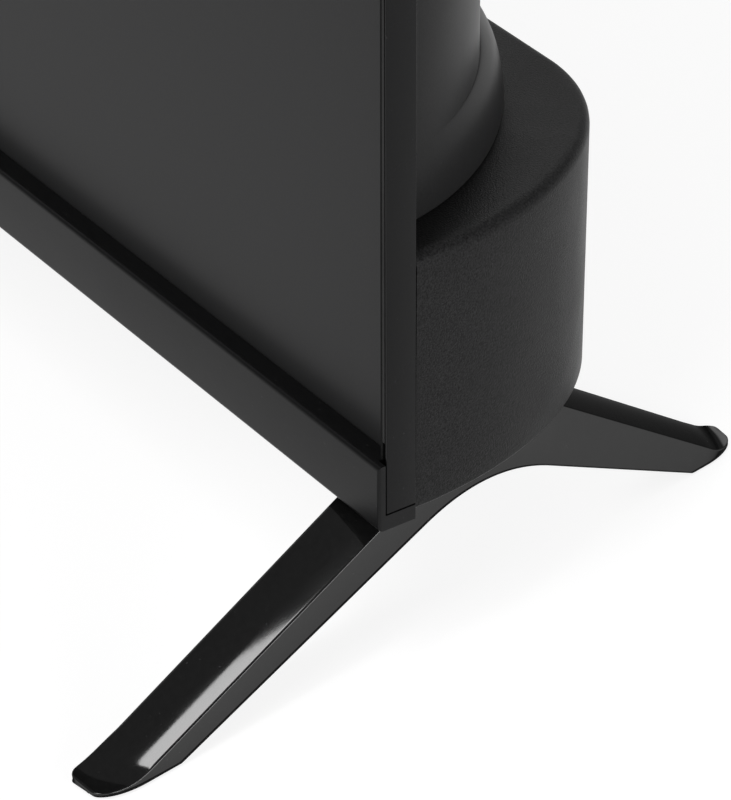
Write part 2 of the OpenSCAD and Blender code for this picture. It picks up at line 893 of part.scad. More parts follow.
// Places of the screws that hold the cover's flange to the chassis rim
function flange_screws() =
    let (
        in = cover_inset - screw_head_r - head_gap,
        up_shares = [0.3, 0.6, 0.9],
        across_shares = [-0.55, 0, 0.55]
    )
        concat(
            [for (side = [-1, 1], share = up_shares)
                [side * (half_w - in), cover_z + share * (top_z - cover_z)]],
            [for (share = across_shares) [share * half_w, top_z - in]]
        );

// Domed upper cover with a flared skirt, vent slots and holes for the wall mount
module upper_rear_cover() {
    outer = [for (z = cover_levels()) both_sides(cover_half(z, 0, flange_back_y, cover_top_z))];
    inner = [
        for (z = cover_levels())
            both_sides(cover_half(z, cover_wall, rim_back_y, cover_top_z - cover_wall))
    ];
    color("#232425")
        difference() {
            wall_between(outer, inner);
            for (p = post_places())
                rod_back([p[0], board_back_y, p[1]], post_r + post_gap, cover_d);
            for (p = flange_screws())
                rod_back([p[0], rim_back_y - past, p[1]], screw_r + shank_gap, cover_wall + 2 * past);
            for (k = [0:vent_count - 1])
                translate([(k - (vent_count - 1) / 2) * vent_pitch, 0, wall_mount_mid_z + vent_lift])
                    wide_block(vent_w / 2, board_back_y, housing_back_y, -vent_l / 2, vent_l / 2);
        }
}

// Right half of the housing's outline at one height, set in by an amount
function housing_half(z, in) =
    let (start_y = in < rim_gap - rim_clear / 2 ? housing_y + housing_lead : behind_rim_y)
        [for (s = corner_share(2))
            [
                half_w - housing_corner + (housing_corner - in) * (1 - s[0]),
                max(start_y, housing_y + housing_lead + (housing_d - housing_lead - in) * s[1]),
                z
            ]];

// Front edge of the housing's floor, below the same points of the outline
function housing_front(z, in) = [for (p = housing_half(z, in)) [p[0], housing_y, z]];

// Inner edge of the ledge, under the upper cover's skirt
function ledge_half(z) =
    let (depth = frame_back_y + cover_d - ledge_tuck - housing_y - housing_lead)
        [for (s = corner_share(cover_fullness))
            [
                cover_centre_x + (cover_corner - ledge_tuck) * (1 - s[0]),
                max(behind_rim_y, housing_y + housing_lead + depth * s[1]),
                z
            ]];

// Lower housing with curved corners, a ledge round the cover, speaker slots and windows for the sockets
module rear_housing() {
    low_edge = 0.8;
    rounding = [30, 60, 90];
    slot_rows = 4;
    slot_pitch = 5;
    slot_w = 2.4;
    slot_in = 2;
    outer = concat(
        [housing_front(housing_z, housing_draft + low_edge)],
        [housing_half(housing_z, housing_draft + low_edge)],
        [housing_half(housing_z + low_edge, housing_draft)],
        [housing_half(housing_top_z - housing_radius, 0)],
        [for (a = rounding)
            housing_half(housing_top_z - housing_radius * (1 - sin(a)), housing_radius * (1 - cos(a)))],
        [housing_half(housing_top_z, rim_gap), ledge_half(housing_top_z)]
    );
    inner_top_z = housing_top_z - housing_wall;
    inner = concat(
        [housing_front(housing_floor_z, housing_draft + low_edge)],
        [housing_half(housing_floor_z, housing_draft + housing_wall + low_edge)],
        [housing_half(housing_floor_z + low_edge, housing_draft + housing_wall)],
        [housing_half(inner_top_z - housing_radius, housing_wall)],
        [for (a = rounding)
            housing_half(
                inner_top_z - housing_radius * (1 - sin(a)), housing_wall + housing_radius * (1 - cos(a))
            )],
        [housing_half(inner_top_z, housing_wall + housing_radius + rim_clear / 3), ledge_half(inner_top_z)]
    );
    color("#1f2021")
        difference() {
            union() {
                wall_between([for (row = outer) both_sides(row)], [for (row = inner) both_sides(row)]);
                for (x = well_xs)
                    rod_back(
                        [x, board_y, well_z], well_r + well_wall,
                        housing_back_y - housing_wall / 2 - board_y - (x == 0 ? 0 : well_bite)
                    );
            }
            for (x = well_xs) {
                rod_back([x, board_y - past, well_z], screw_r + shank_gap, well_floor + 2 * past);
                rod_back([x, board_y + well_floor, well_z], well_r, housing_d);
            }
            bay_space(socket_bay_x, bay_gap, bay_y - bay_wall - bay_gap);
            bay_space(inlet_bay_x, bay_gap, bay_y - bay_wall - bay_gap);
            for (side = [-1, 1], k = [-slot_rows:slot_rows])
                translate([side * speaker_x + k * slot_pitch, speaker_mid_y, 0])
                    wide_block(
                        slot_w / 2, slot_in - cone_r, cone_r - slot_in,
                        housing_z - past, housing_floor_z + past
                    );
            for (side = [0, 1])
                mirror([side, 0, 0])
                    for (p = foot_screw_places())
                        translate([p[0], p[1], housing_z - past])
                            cylinder(r = foot_screw_r + shank_gap, h = housing_wall + 2 * past);
        }
}

// Space of a socket bay from a front plane to past the housing, grown by a clearance
module bay_space(range_x, grow, front_y) {
    block(
        [range_x[0] - grow, front_y, bay_z - grow],
        [range_x[1] + grow, housing_back_y + past, bay_z + bay_h + grow]
    );
}

// Tray that sockets look out of, open to the rear
module bay_tray(range_x) {
    difference() {
        block(
            [range_x[0], bay_y - bay_wall, bay_z],
            [range_x[1], housing_back_y, bay_z + bay_h]
        );
        bay_space(range_x, -bay_wall, bay_y);
    }
}

// Small screw seen from behind, its head on the given point
module small_screw(at, shank) {
    drive_r = 1.2;
    difference() {
        union() {
            rod_back(at - [0, shank, 0], screw_r, shank + bite);
            rod_back(at, screw_head_r, screw_head_h);
        }
        rod_back(at + [0, screw_head_h / 2, 0], drive_r, screw_head_h);
    }
}

module cover_screws() {
    color("#3a3b3c")
        for (p = flange_screws())
            small_screw([p[0], flange_back_y, p[1]], cover_wall + sheet_t);
}

module housing_screws() {
    color("#3a3b3c")
        for (x = well_xs)
            small_screw([x, board_y + well_floor, well_z], well_floor + standoff_h - screw_end_gap);
}

// Steel posts with threaded ends that carry the set on a wall plate
module wall_mount_posts() {
    post_end_y = frame_back_y + cover_d - cover_step - post_end_gap;
    color("#c9ccce")
        for (p = post_places())
            difference() {
                rod_back([p[0], tray_back_y, p[1]], post_r, post_end_y - tray_back_y);
                rod_back([p[0], post_end_y - post_hole_d, p[1]], post_hole_r, post_hole_d + past);
            }
}

// Boards and sockets

// Block on the back of a board, centred on a place
module on_board(x, z, size, height) {
    translate([x, 0, z])
        wide_block(size[0] / 2, board_back_y, board_back_y + height, -size[1] / 2, size[1] / 2);
}

// Hollow in a socket's face
module socket_hollow(x, size, depth) {
    translate([x, 0, socket_z])
        wide_block(size[0] / 2, bay_y - depth, bay_y + past, -size[1] / 2, size[1] / 2);
}

// Hole in a bay's floor round a socket
module socket_cut(x, size) {
    socket_hollow(x, size + 2 * [socket_gap, socket_gap], bay_wall + past);
}

// Round hole in a bay's floor round a socket
module round_cut(x, r) {
    rod_back([x, bay_y - bay_wall - past, socket_z], r + socket_gap, bay_wall + 2 * past);
}

module socket_bay() {
    color("#141414")
        difference() {
            bay_tray(socket_bay_x);
            for (x = video_xs)
                socket_cut(x, video_size);
            socket_cut(data_x, data_size);
            socket_cut(network_x, network_size);
            round_cut(audio_x, audio_r);
            round_cut(aerial_x, aerial_r);
        }
}

module inlet_bay() {
    color("#141414")
        difference() {
            bay_tray(inlet_bay_x);
            socket_cut(inlet_x, inlet_size);
        }
}

// Circuit board on one side of the middle with holes over its standoffs
module circuit_board(side) {
    mid_x = side * (board_from_middle + board_w / 2);
    difference() {
        translate([mid_x, 0, board_z])
            wide_block(board_w / 2, board_y, board_back_y, 0, board_h);
        for (p = board_corners(side))
            rod_back([p[0], board_y - past, p[1]], screw_r + shank_gap, board_t + 2 * past);
    }
}

module main_board() {
    chip = [14, 10];
    chip_h = 1.2;
    chip_pitch = 22;
    chip_from_ribbon = 12;
    ribbon_plug = [ribbon_w + 2, 6];
    color("#1d5a34") {
        circuit_board(-1);
        on_board(ribbon_x, ribbon_plug_z, ribbon_plug, ribbon_plug_h);
        on_board(speaker_plug_x, wire_plug_z, wire_plug, wire_plug_h);
        for (k = [0:2])
            on_board(ribbon_x - chip_from_ribbon - k * chip_pitch, chip_z, chip, chip_h);
    }
}

// Finned block on the main processor
module main_heatsink() {
    fin_count = 7;
    fin_t = 1.2;
    base_t = 3;
    fin_h = 12;
    pitch = (heatsink_w - fin_t) / (fin_count - 1);
    color("#8d9194")
        translate([heatsink_x, 0, chip_z]) {
            wide_block(heatsink_w / 2, board_back_y, board_back_y + base_t, -heatsink_w / 2, heatsink_w / 2);
            for (k = [0:fin_count - 1])
                translate([-heatsink_w / 2 + fin_t / 2 + k * pitch, 0, 0])
                    wide_block(
                        fin_t / 2, board_back_y + base_t - bite, board_back_y + base_t + fin_h,
                        -heatsink_w / 2, heatsink_w / 2
                    );
        }
}

module tuner_can() {
    can = [14, 26];
    can_h = 9;
    can_lift = 24;
    color("#c4c7c8")
        on_board(aerial_x, socket_z + can_lift, can, can_h);
}

// Metal shell with a tongue in its mouth
module tongue_socket(x, size, mouth, tongue, depth) {
    tongue_back = 2;
    difference() {
        on_board(x, socket_z, size, socket_d);
        difference() {
            socket_hollow(x, mouth, depth);
            translate([0, -tongue_back, 0])
                socket_hollow(x, tongue, depth);
        }
    }
}

module video_sockets() {
    mouth = [14, 4.6];
    tongue = [11, 1.1];
    depth = 11;
    color("#b5b8ba")
        for (x = video_xs)
            tongue_socket(x, video_size, mouth, tongue, depth);
}

module data_socket() {
    mouth = [12.4, 5.2];
    tongue = [11, 1.6];
    depth = 12;
    color("#b5b8ba")
        tongue_socket(data_x, data_size, mouth, tongue, depth);
}

module network_socket() {
    mouth = [11.8, 8.2];
    depth = 16;
    color("#b5b8ba")
        difference() {
            on_board(network_x, socket_z, network_size, socket_d);
            socket_hollow(network_x, mouth, depth);
        }
}

module audio_jack() {
    mouth_r = 1.8;
    depth = 14;
    color("#202020")
        difference() {
            rod_back([audio_x, board_back_y, socket_z], audio_r, socket_d);
            rod_back([audio_x, bay_y - depth, socket_z], mouth_r, depth + past);
        }
}

// Round socket with a hollow pin in its middle
module aerial_socket() {
    wall = 0.8;
    depth = 9;
    pin_r = 2.2;
    pin_l = 7;
    pin_hole_r = 1.2;
    color("#c4c7c8")
        difference() {
            rod_back([aerial_x, board_back_y, socket_z], aerial_r, socket_d);
            difference() {
                rod_back([aerial_x, bay_y - depth, socket_z], aerial_r - wall, depth + past);
                rod_back([aerial_x, bay_y - depth - past, socket_z], pin_r, pin_l + past);
            }
            rod_back([aerial_x, bay_y - depth, socket_z], pin_hole_r, depth + past);
        }
}

module power_board() {
    color("#1d5a34") {
        circuit_board(1);
        on_board(led_plug_x, wire_plug_z, wire_plug, wire_plug_h);
    }
}

module power_transformer() {
    core = [34, 28];
    core_h = 8;
    coil_r = 11;
    coil_h = 12;
    color("#4a3b2a")
        translate([transformer_x, 0, power_part_z]) {
            for (lift = [0, core_h + coil_h])
                translate([0, lift, 0])
                    wide_block(core[0] / 2, board_back_y, board_back_y + core_h, -core[1] / 2, core[1] / 2);
            rod_back([0, board_back_y + core_h - bite, 0], coil_r, coil_h + 2 * bite);
        }
}

// Row of cans, each with its radius
module power_capacitors() {
    can_h = 26;
    can_rs = [9, 9, 7];
    first = 42;
    pitch = 21;
    color("#20242c")
        for (k = [0:2])
            rod_back([transformer_x + first + k * pitch, board_back_y, power_part_z], can_rs[k], can_h);
}

module power_heatsink() {
    plate = [44, 3];
    plate_h = 26;
    beside = 8;
    below = 26;
    color("#a7abad")
        on_board(transformer_x - beside, power_part_z - below, plate, plate_h);
}

// Mains inlet with two pins in a mouth of two joined rounds
module ac_inlet() {
    mouth_r = 3.7;
    pin_r = 1.2;
    pin_gap = 8.6;
    mouth_d = 13;
    waist_h = 6.2;
    pin_l = 10;
    color("#161616")
        difference() {
            on_board(inlet_x, socket_z, inlet_size, socket_d);
            difference() {
                union() {
                    for (side = [-1, 1])
                        rod_back(
                            [inlet_x + side * pin_gap / 2, bay_y - mouth_d, socket_z], mouth_r, mouth_d + past
                        );
                    socket_hollow(inlet_x, [pin_gap, waist_h], mouth_d);
                }
                for (side = [-1, 1])
                    rod_back(
                        [inlet_x + side * pin_gap / 2, bay_y - mouth_d - past, socket_z], pin_r, pin_l + past
                    );
            }
        }
}

module board_screws() {
    color("#c9b26a")
        for (side = [-1, 1], p = board_corners(side))
            small_screw([p[0], board_back_y, p[1]], board_t + standoff_h - screw_end_gap);
}

// Flat cable from the source board up to the main board
module panel_ribbon() {
    ribbon_t = 0.3;
    front_y = rim_back_y + board_t + source_plug_h;
    back_y = board_back_y + ribbon_plug_h;
    low_z = rim_z + 4;
    high_z = ribbon_plug_z + 2;
    color("#d9d5c4")
        along_width(
            [
                [front_y, low_z], [back_y + ribbon_t, low_z], [back_y + ribbon_t, high_z],
                [back_y, high_z], [back_y, low_z + ribbon_t], [front_y, low_z + ribbon_t]
            ],
            ribbon_x - ribbon_w / 2, ribbon_x + ribbon_w / 2
        );
}

// Lead from the power board into the light tray
module led_cable() {
    start_z = wire_plug_z + wire_plug[1] / 2;
    color("#d0d0cc")
        wire(
            [
                [led_plug_x, wire_plug_y, start_z],
                [led_plug_x, wire_plug_y, start_z + 6],
                [led_plug_x, wire_plug_y - 3, start_z + 11],
                [led_plug_x, tray_back_y + 5, start_z + 13],
                [led_plug_x, tray_back_y, start_z + 13]
            ],
            wire_r
        );
}

// Leads from both speaker boxes over the boards to the main board
module speaker_wires() {
    start_z = housing_floor_z + speaker_h * 0.8;
    end_z = wire_plug_z + wire_plug[1] / 2;
    run_z = board_z + board_h + 4;
    inner_x = speaker_x - speaker_w / 2;
    turn_x = (inner_x + board_from_middle + board_w) / 2;
    color("#2a2a2a")
        for (side = [-1, 1])
            wire(
                [
                    [side * inner_x, speaker_mid_y, start_z],
                    [side * turn_x, speaker_mid_y - 2, start_z + 4],
                    [side * turn_x, wire_plug_y + 6, run_z - 12],
                    [side * (turn_x - 8), wire_plug_y + 3, run_z],
                    [speaker_plug_x + side * 12, wire_plug_y, run_z],
                    [speaker_plug_x + side * 4, wire_plug_y, run_z - 2],
                    [speaker_plug_x + side * 3, wire_plug_y, end_z]
                ],
                wire_r
            );
}

// Speakers

module speaker_box() {
    low = [speaker_x - speaker_w / 2, speaker_y, housing_floor_z];
    high = [speaker_x + speaker_w / 2, speaker_y + speaker_d, housing_floor_z + speaker_h];
    wall = [speaker_wall, speaker_wall, speaker_wall];
    color("#18191a")
        difference() {
            block(low, high);
            block(low + wall, high - wall);
            translate([speaker_x, speaker_mid_y, housing_floor_z - past])
                cylinder(r = cone_r, h = speaker_wall + 2 * past);
        }
}

module speaker_box_right() {
    speaker_box();
}

module speaker_box_left() {
    mirror([1, 0, 0])
        speaker_box();
}

// Cone, basket and magnet turned about the speaker's axis
module speaker_cone() {
    rim_t = 1.6;
    room = speaker_h - 2 * speaker_wall;
    basket_h = room / 2;
    magnet_r = cone_r * 0.7;
    magnet_gap = 2;
    magnet_h = room - basket_h - magnet_gap;
    throat_r = 5;
    throat_h = basket_h - 3;
    rim_in = cone_r - 1;
    rim_out = cone_r + 1.6;
    color("#2b2a28")
        translate([speaker_x, speaker_mid_y, housing_floor_z + speaker_wall])
            rotate_extrude()
                polygon([
                    [rim_in, 0], [rim_out, 0], [rim_out, rim_t], [magnet_r, basket_h],
                    [magnet_r, basket_h + magnet_h], [0, basket_h + magnet_h], [0, throat_h],
                    [throat_r, throat_h]
                ]);
}

module speaker_cone_right() {
    speaker_cone();
}

module speaker_cone_left() {
    mirror([1, 0, 0])
        speaker_cone();
}

// Remote receiver and power button

module ir_window() {
    color("#2a0d10")
        translate([0, 0, window_z]) {
            wide_block(window_w / 2, bezel_y, bezel_y + bezel_wall + bite, -window_h / 2, window_h / 2);
            wide_block(
                window_w / 2 + window_rim, bezel_y + bezel_wall, bezel_y + bezel_wall + window_rim_t,
                -window_h / 2 - window_rim, window_h / 2 + window_rim
            );
        }
}

module ir_board() {
    front_y = bezel_y + bezel_wall + window_rim_t;
    wider = 4;
    top_gap = 2;
    color("#1d5a34")
        wide_block(
            window_w / 2 + wider, front_y, front_y + key_board_t, plate_z, bezel_top_z - bezel_wall - top_gap
        );
}

module key_switch() {
    board_d = 6;
    body_w = 6;
    body_d = 5.6;
    plunger_r = 1.6;
    color("#c8cacb")
        translate([button_x, button_y, 0]) {
            wide_block(key_board_w / 2, -board_d / 2, board_d / 2, key_board_z, key_board_z + key_board_t);
            wide_block(body_w / 2, -body_d / 2, body_d / 2, key_z + key_plunger, key_board_z + bite);
            translate([0, 0, key_z])
                cylinder(r = plunger_r, h = key_plunger + bite);
        }
}

// Cap that passes through the bezel's floor, kept in by a flange
module power_button() {
    flange_z = plate_z + button_gap;
    color("#26282a")
        translate([button_x, button_y, 0]) {
            wide_block(
                button_w / 2, -button_d / 2, button_d / 2, base_z - button_out, flange_z + button_flange_t
            );
            wide_block(
                button_w / 2 + button_flange, -button_d / 2 - button_flange, button_d / 2 + button_flange,
                flange_z, flange_z + button_flange_t
            );
        }
}

// Feet

// Point beside the right foot: run along it, distance outwards and height
function foot_point(s, out, z) = [
    pad_x - s * sin(foot_yaw) + out * cos(foot_yaw),
    pad_y + s * cos(foot_yaw) + out * sin(foot_yaw),
    z
];

// Places of the two screws of the right foot
function foot_screw_places() = [for (side = [-1, 1]) foot_point(side * foot_screw_gap / 2, 0, 0)];

// Underside of the foot, with the arch between its two heels
function foot_under(s) = max(
    rubber_t,
    smooth_min((s + front_heel) * tan(front_under), (rear_heel - s) * tan(rear_under), arch_blend)
);

// Upper side of the foot, flat under the housing and sloping to both toes, raised on the slopes by a lift
function foot_over(s, lift) = smooth_max(
    toe_edge_t + (toe_t - toe_edge_t) * lift / foot_crown,
    min(
        housing_z,
        housing_z + lift + (s + foot_flat_front) * tan(front_slope),
        housing_z + lift - (s - foot_flat_rear) * tan(rear_slope)
    ),
    toe_t
);

// Distance to the nearer toe's end
function to_toe(s) = min(s + front_reach, rear_reach - s);

// Amount by which a side draws in near a toe's end, along a quarter of an ellipse
function draw_in(s, run, most) = to_toe(s) >= run ? 0 : most * (1 - sqrt(1 - pow(1 - to_toe(s) / run, 2)));

// Amount by which the inner side draws in along the slopes
function taper(s) = max(
    0,
    front_taper * (-s - foot_flat_front) / (front_reach - foot_flat_front),
    rear_taper * (s - foot_flat_rear) / (rear_reach - foot_flat_rear)
);

// Section of the right foot, wound as seen from the front, its crowned top falling outwards
function foot_ring(s) =
    let (
        low = foot_under(s),
        out = foot_w / 2 - draw_in(s, toe_run, foot_w - toe_w),
        in = foot_w / 2 - draw_in(s, toe_corner, toe_corner) - taper(s),
        r = min(foot_radius, (foot_over(s, 0) - low) / 3),
        soft = r * (1 - cos(45)),
        top = function (at) foot_over(s, foot_crown * (1 - pow((at + in) / (out + in), crown_power)))
    )
        [
            foot_point(s, -in, low), foot_point(s, out, low), foot_point(s, out, top(out) - foot_edge),
            for (k = [0:crown_steps])
                let (at = out - foot_edge - (out + in - foot_edge - r) * k / crown_steps)
                    foot_point(s, at, top(at)),
            foot_point(s, -in + soft, top(-in) - soft), foot_point(s, -in, top(-in) - r)
        ];

module foot() {
    middle = (rear_reach - front_reach) / 2;
    half = (rear_reach + front_reach) / 2;
    color("#0d0e0f")
        difference() {
            skin([for (k = [0:foot_steps]) foot_ring(middle - half * cos(180 * k / foot_steps))]);
            for (p = foot_screw_places())
                translate([p[0], p[1], 0]) {
                    cylinder(r = foot_head_r + shank_gap, h = foot_screw_z);
                    cylinder(r = foot_screw_r + shank_gap, h = housing_z + past);
                }
        }
}

module foot_right() {
    foot();
}

module foot_left() {
    mirror([1, 0, 0])
        foot();
}

// Both copies of what sits at the right foot
module at_both_feet() {
    for (side = [0, 1])
        mirror([side, 0, 0])
            children();
}

// Upright block turned with the right foot, its middle set outwards by an amount
module foot_block(s, out, size, low_z, high_z) {
    at = foot_point(s, out, 0);
    translate([at[0], at[1], low_z])
        rotate([0, 0, foot_yaw])
            wide_block(size[0] / 2, -size[1] / 2, size[1] / 2, 0, high_z - low_z);
}

// Rubber pads under the toes, where the foot is flat
module foot_pads() {
    pad_w = 7;
    from_end = 4;
    color("#2e2e2e")
        at_both_feet() {
            foot_block(-(front_reach - from_end - rubber_l / 2), 0, [pad_w, rubber_l], 0, rubber_t);
            foot_block(
                rear_reach - from_end - rubber_l / 4, rear_taper / 4, [pad_w, rubber_l / 2], 0, rubber_t
            );
        }
}

module foot_brackets() {
    color("#a9adb0")
        at_both_feet()
            difference() {
                foot_block(
                    0, -bracket_in, [bracket_w, bracket_l], housing_floor_z, housing_floor_z + bracket_t
                );
                for (p = foot_screw_places())
                    translate([p[0], p[1], housing_floor_z - past])
                        cylinder(r = foot_screw_r + thread_gap, h = bracket_t + 2 * past);
            }
}

module foot_screws() {
    end_gap = 0.5;
    shank_end_z = housing_floor_z + bracket_t - end_gap;
    drive_r = 1.6;
    color("#3a3b3c")
        at_both_feet()
            for (p = foot_screw_places())
                translate([p[0], p[1], 0])
                    difference() {
                        union() {
                            translate([0, 0, foot_screw_z - foot_head_h])
                                cylinder(r = foot_head_r, h = foot_head_h);
                            translate([0, 0, foot_screw_z - bite])
                                cylinder(r = foot_screw_r, h = shank_end_z - foot_screw_z + bite);
                        }
                        translate([0, 0, foot_screw_z - foot_head_h - past])
                            cylinder(r = drive_r, h = past + foot_head_h / 2);
                    }
}

screen_panel();
panel_frame();
optical_films();
diffuser_plate();
reflector_sheet();
led_bars();
led_lenses();
back_chassis();
source_board();
bottom_bezel();
side_frame_left();
side_frame_right();
top_frame();
upper_rear_cover();
rear_housing();
cover_screws();
housing_screws();
wall_mount_posts();
socket_bay();
inlet_bay();
main_board();
main_heatsink();
tuner_can();
video_sockets();
data_socket();
network_socket();
aerial_socket();
audio_jack();
power_board();
power_transformer();
power_capacitors();
power_heatsink();
ac_inlet();
board_screws();
panel_ribbon();
led_cable();
speaker_wires();
speaker_box_left();
speaker_box_right();
speaker_cone_left();
speaker_cone_right();
ir_window();
ir_board();
key_switch();
power_button();
foot_left();
foot_right();
foot_pads();
foot_brackets();
foot_screws();
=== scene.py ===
import json
import math

import bmesh
import bpy
import numpy as np
from mathutils import Matrix, Quaternion, Vector


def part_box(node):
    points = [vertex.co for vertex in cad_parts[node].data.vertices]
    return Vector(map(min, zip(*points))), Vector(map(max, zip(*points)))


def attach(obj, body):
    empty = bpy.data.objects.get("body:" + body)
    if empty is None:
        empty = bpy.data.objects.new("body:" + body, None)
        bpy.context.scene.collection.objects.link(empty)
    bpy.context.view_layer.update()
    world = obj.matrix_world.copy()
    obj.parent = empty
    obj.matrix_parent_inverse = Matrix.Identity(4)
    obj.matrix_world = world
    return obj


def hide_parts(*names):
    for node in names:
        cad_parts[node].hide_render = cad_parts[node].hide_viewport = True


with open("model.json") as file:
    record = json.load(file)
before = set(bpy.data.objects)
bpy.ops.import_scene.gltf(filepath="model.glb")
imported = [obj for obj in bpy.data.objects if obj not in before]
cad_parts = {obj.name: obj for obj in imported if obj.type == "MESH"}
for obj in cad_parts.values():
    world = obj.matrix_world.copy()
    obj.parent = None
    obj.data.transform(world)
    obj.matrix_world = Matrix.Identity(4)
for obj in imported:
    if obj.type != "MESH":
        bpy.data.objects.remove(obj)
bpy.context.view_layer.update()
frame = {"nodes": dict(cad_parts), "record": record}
nodeSlot = {part["node"]: part["material_slot"] for part in frame["record"]["subparts"]}
scene = bpy.context.scene
scene.view_settings.view_transform = "Standard"
mm = 0.001
mergeGap = 1e-7  # metres: points nearer than this become one
alongY, alongZ = 1, 2  # axis numbers
print("stage: frame loaded")


# corners of a CAD node, in millimetres
def nodeBox(node):
    low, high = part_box(node)
    return np.array(low) / mm, np.array(high) / mm


bezelLow, bezelHigh = nodeBox("bottom_bezel")
housingLow, housingHigh = nodeBox("rear_housing")
coverLow, coverHigh = nodeBox("upper_rear_cover")
screenLow, screenHigh = nodeBox("screen_panel")
stripLow, stripHigh = nodeBox("side_frame_right")
halfWidth, frameBack, baseZ = bezelHigh[0], bezelHigh[1], bezelLow[2]


# angles from nothing to a right angle
def quarterTurn(steps):
    return np.linspace(0, np.pi / 2, steps)


# quads of a grid of rows and columns, numbered row by row
def gridFaces(rows, cols, closeCols=False):
    lastCol = cols if closeCols else cols - 1
    row, col = np.meshgrid(np.arange(rows - 1), np.arange(lastCol), indexing="ij")
    after = (col + 1) % cols
    low, high = row * cols, (row + 1) * cols
    return np.stack([low + col, low + after, high + after, high + col], -1).reshape(-1, 4)


# closed wall: the outer grid, the inner grid, and a band of quads that joins their borders
def shellMesh(outer, inner):
    rows, cols = outer.shape[:2]
    count = rows * cols
    grid = gridFaces(rows, cols)
    index = np.arange(count).reshape(rows, cols)
    border = np.concatenate([index[0, :-1], index[:-1, -1], index[-1, :0:-1], index[:0:-1, 0]])
    follow = np.roll(border, -1)
    band = np.stack([border, follow, follow + count, border + count], 1)
    points = np.vstack([outer.reshape(-1, 3), inner.reshape(-1, 3)])
    return points, np.vstack([grid, grid[:, ::-1] + count, band]).tolist()


# closed bar: rings of the same number of points, joined by quads and capped at both ends
def ringMesh(rings):
    count, size = rings.shape[:2]
    faces = gridFaces(count, size, True).tolist()
    last = (count - 1) * size
    return rings.reshape(-1, 3), faces + [list(range(size - 1, -1, -1)), list(range(last, last + size))]


# object from points in millimetres, with doubled points merged and its faces turned outwards
def makePiece(name, points, faces):
    mesh = bpy.data.meshes.new(name)
    mesh.from_pydata((np.asarray(points) * mm).tolist(), [], faces)
    shape = bmesh.new()
    shape.from_mesh(mesh)
    bmesh.ops.remove_doubles(shape, verts=shape.verts, dist=mergeGap)
    bmesh.ops.recalc_face_normals(shape, faces=shape.faces)
    shape.to_mesh(mesh)
    shape.free()
    piece = bpy.data.objects.new(name, mesh)
    scene.collection.objects.link(piece)
    return piece


# several closed shapes as one mesh
def joinShapes(shapes):
    points, faces, start = [], [], 0
    for shapePoints, shapeFaces in shapes:
        points.append(shapePoints)
        faces += [[start + corner for corner in face] for face in shapeFaces]
        start += len(shapePoints)
    return np.vstack(points), faces


# block between two corners
def boxShape(low, high):
    x, y, z = (np.array([a, b]) for a, b in zip(low, high))
    ring = np.array([[x[0], y[0]], [x[1], y[0]], [x[1], y[1]], [x[0], y[1]]])
    return ringMesh(np.array([np.column_stack([ring, np.full(4, height)]) for height in z]))


# rings round an axis: two offsets across it from a centre, one ring for each station along it
def axisRings(centre, axis, across, along, stations):
    rings = np.zeros((len(stations), across.shape[-1], 3))
    sides = [k for k in range(3) if k != axis]
    rings[:, :, sides[0]] = centre[sides[0]] + across
    rings[:, :, sides[1]] = centre[sides[1]] + along
    rings[:, :, axis] = np.array(stations)[:, None]
    return rings


# bar with a slotted section: two half circles of a radius, joined by straight sides, run along one axis
def slotShape(centre, radius, straight, axis, start, end, steps=10):
    turn = np.linspace(0, np.pi, steps)
    across = np.concatenate([radius * np.cos(turn), -radius * np.cos(turn)])
    along = np.concatenate([radius * np.sin(turn) + straight / 2, -radius * np.sin(turn) - straight / 2])
    return ringMesh(axisRings(centre, axis, across, along, (start, end)))


# round bar along one axis: a circle carried from start to end
def rodShape(centre, radius, axis, start, end, steps=40):
    turn = np.linspace(0, 2 * np.pi, steps, endpoint=False)
    return ringMesh(axisRings(centre, axis, radius * np.cos(turn), radius * np.sin(turn), (start, end)))


# tube along one axis: outer and inner circles at both ends, joined in turn and closed on the first
def tubeShape(centre, inner, outer, axis, start, end, steps=40):
    turn = np.linspace(0, 2 * np.pi, steps, endpoint=False)
    radius = np.array([outer, outer, inner, inner, outer])[:, None]
    stations = (start, end, end, start, start)
    rings = axisRings(centre, axis, radius * np.cos(turn), radius * np.sin(turn), stations)
    return rings.reshape(-1, 3), gridFaces(len(stations), steps, True).tolist()


# adds closed shapes to a piece's mesh
def addShapes(piece, shapes):
    extra = makePiece(piece.name + "Extra", *joinShapes(shapes))
    shape = bmesh.new()
    shape.from_mesh(piece.data)
    shape.from_mesh(extra.data)
    shape.to_mesh(piece.data)
    shape.free()
    bpy.data.meshes.remove(extra.data)


# takes a set of closed shapes out of a piece and keeps the result as its mesh
def cutAway(piece, shapes):
    cutter = makePiece(piece.name + "Cutter", *joinShapes(shapes))
    change = piece.modifiers.new("cut", "BOOLEAN")
    change.operation, change.solver, change.object = "DIFFERENCE", "EXACT", cutter
    graph = bpy.context.evaluated_depsgraph_get()
    old, piece.data = piece.data, bpy.data.meshes.new_from_object(piece.evaluated_get(graph))
    piece.modifiers.clear()
    bpy.data.meshes.remove(old)
    bpy.data.meshes.remove(cutter.data)


# smooth shading with edges kept above an angle, finish, body and the CAD nodes that the piece stands for
def finishPiece(piece, nodes, sharpAngle=32, body="tv"):
    mesh = piece.data
    mesh.polygons.foreach_set("use_smooth", np.ones(len(mesh.polygons), dtype=bool))
    mesh.set_sharp_from_angle(angle=math.radians(sharpAngle))
    mesh.materials.clear()
    mesh.materials.append(finishes[nodeSlot[nodes[0]]])
    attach(piece, body)
    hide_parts(*nodes)


# bevel on the edges sharper than an angle in degrees, its width in millimetres
def softenEdges(piece, width, angle, segments=2):
    bevel = piece.modifiers.new("soften", "BEVEL")
    bevel.width, bevel.segments, bevel.limit_method = width * mm, segments, "ANGLE"
    bevel.angle_limit = math.radians(angle)


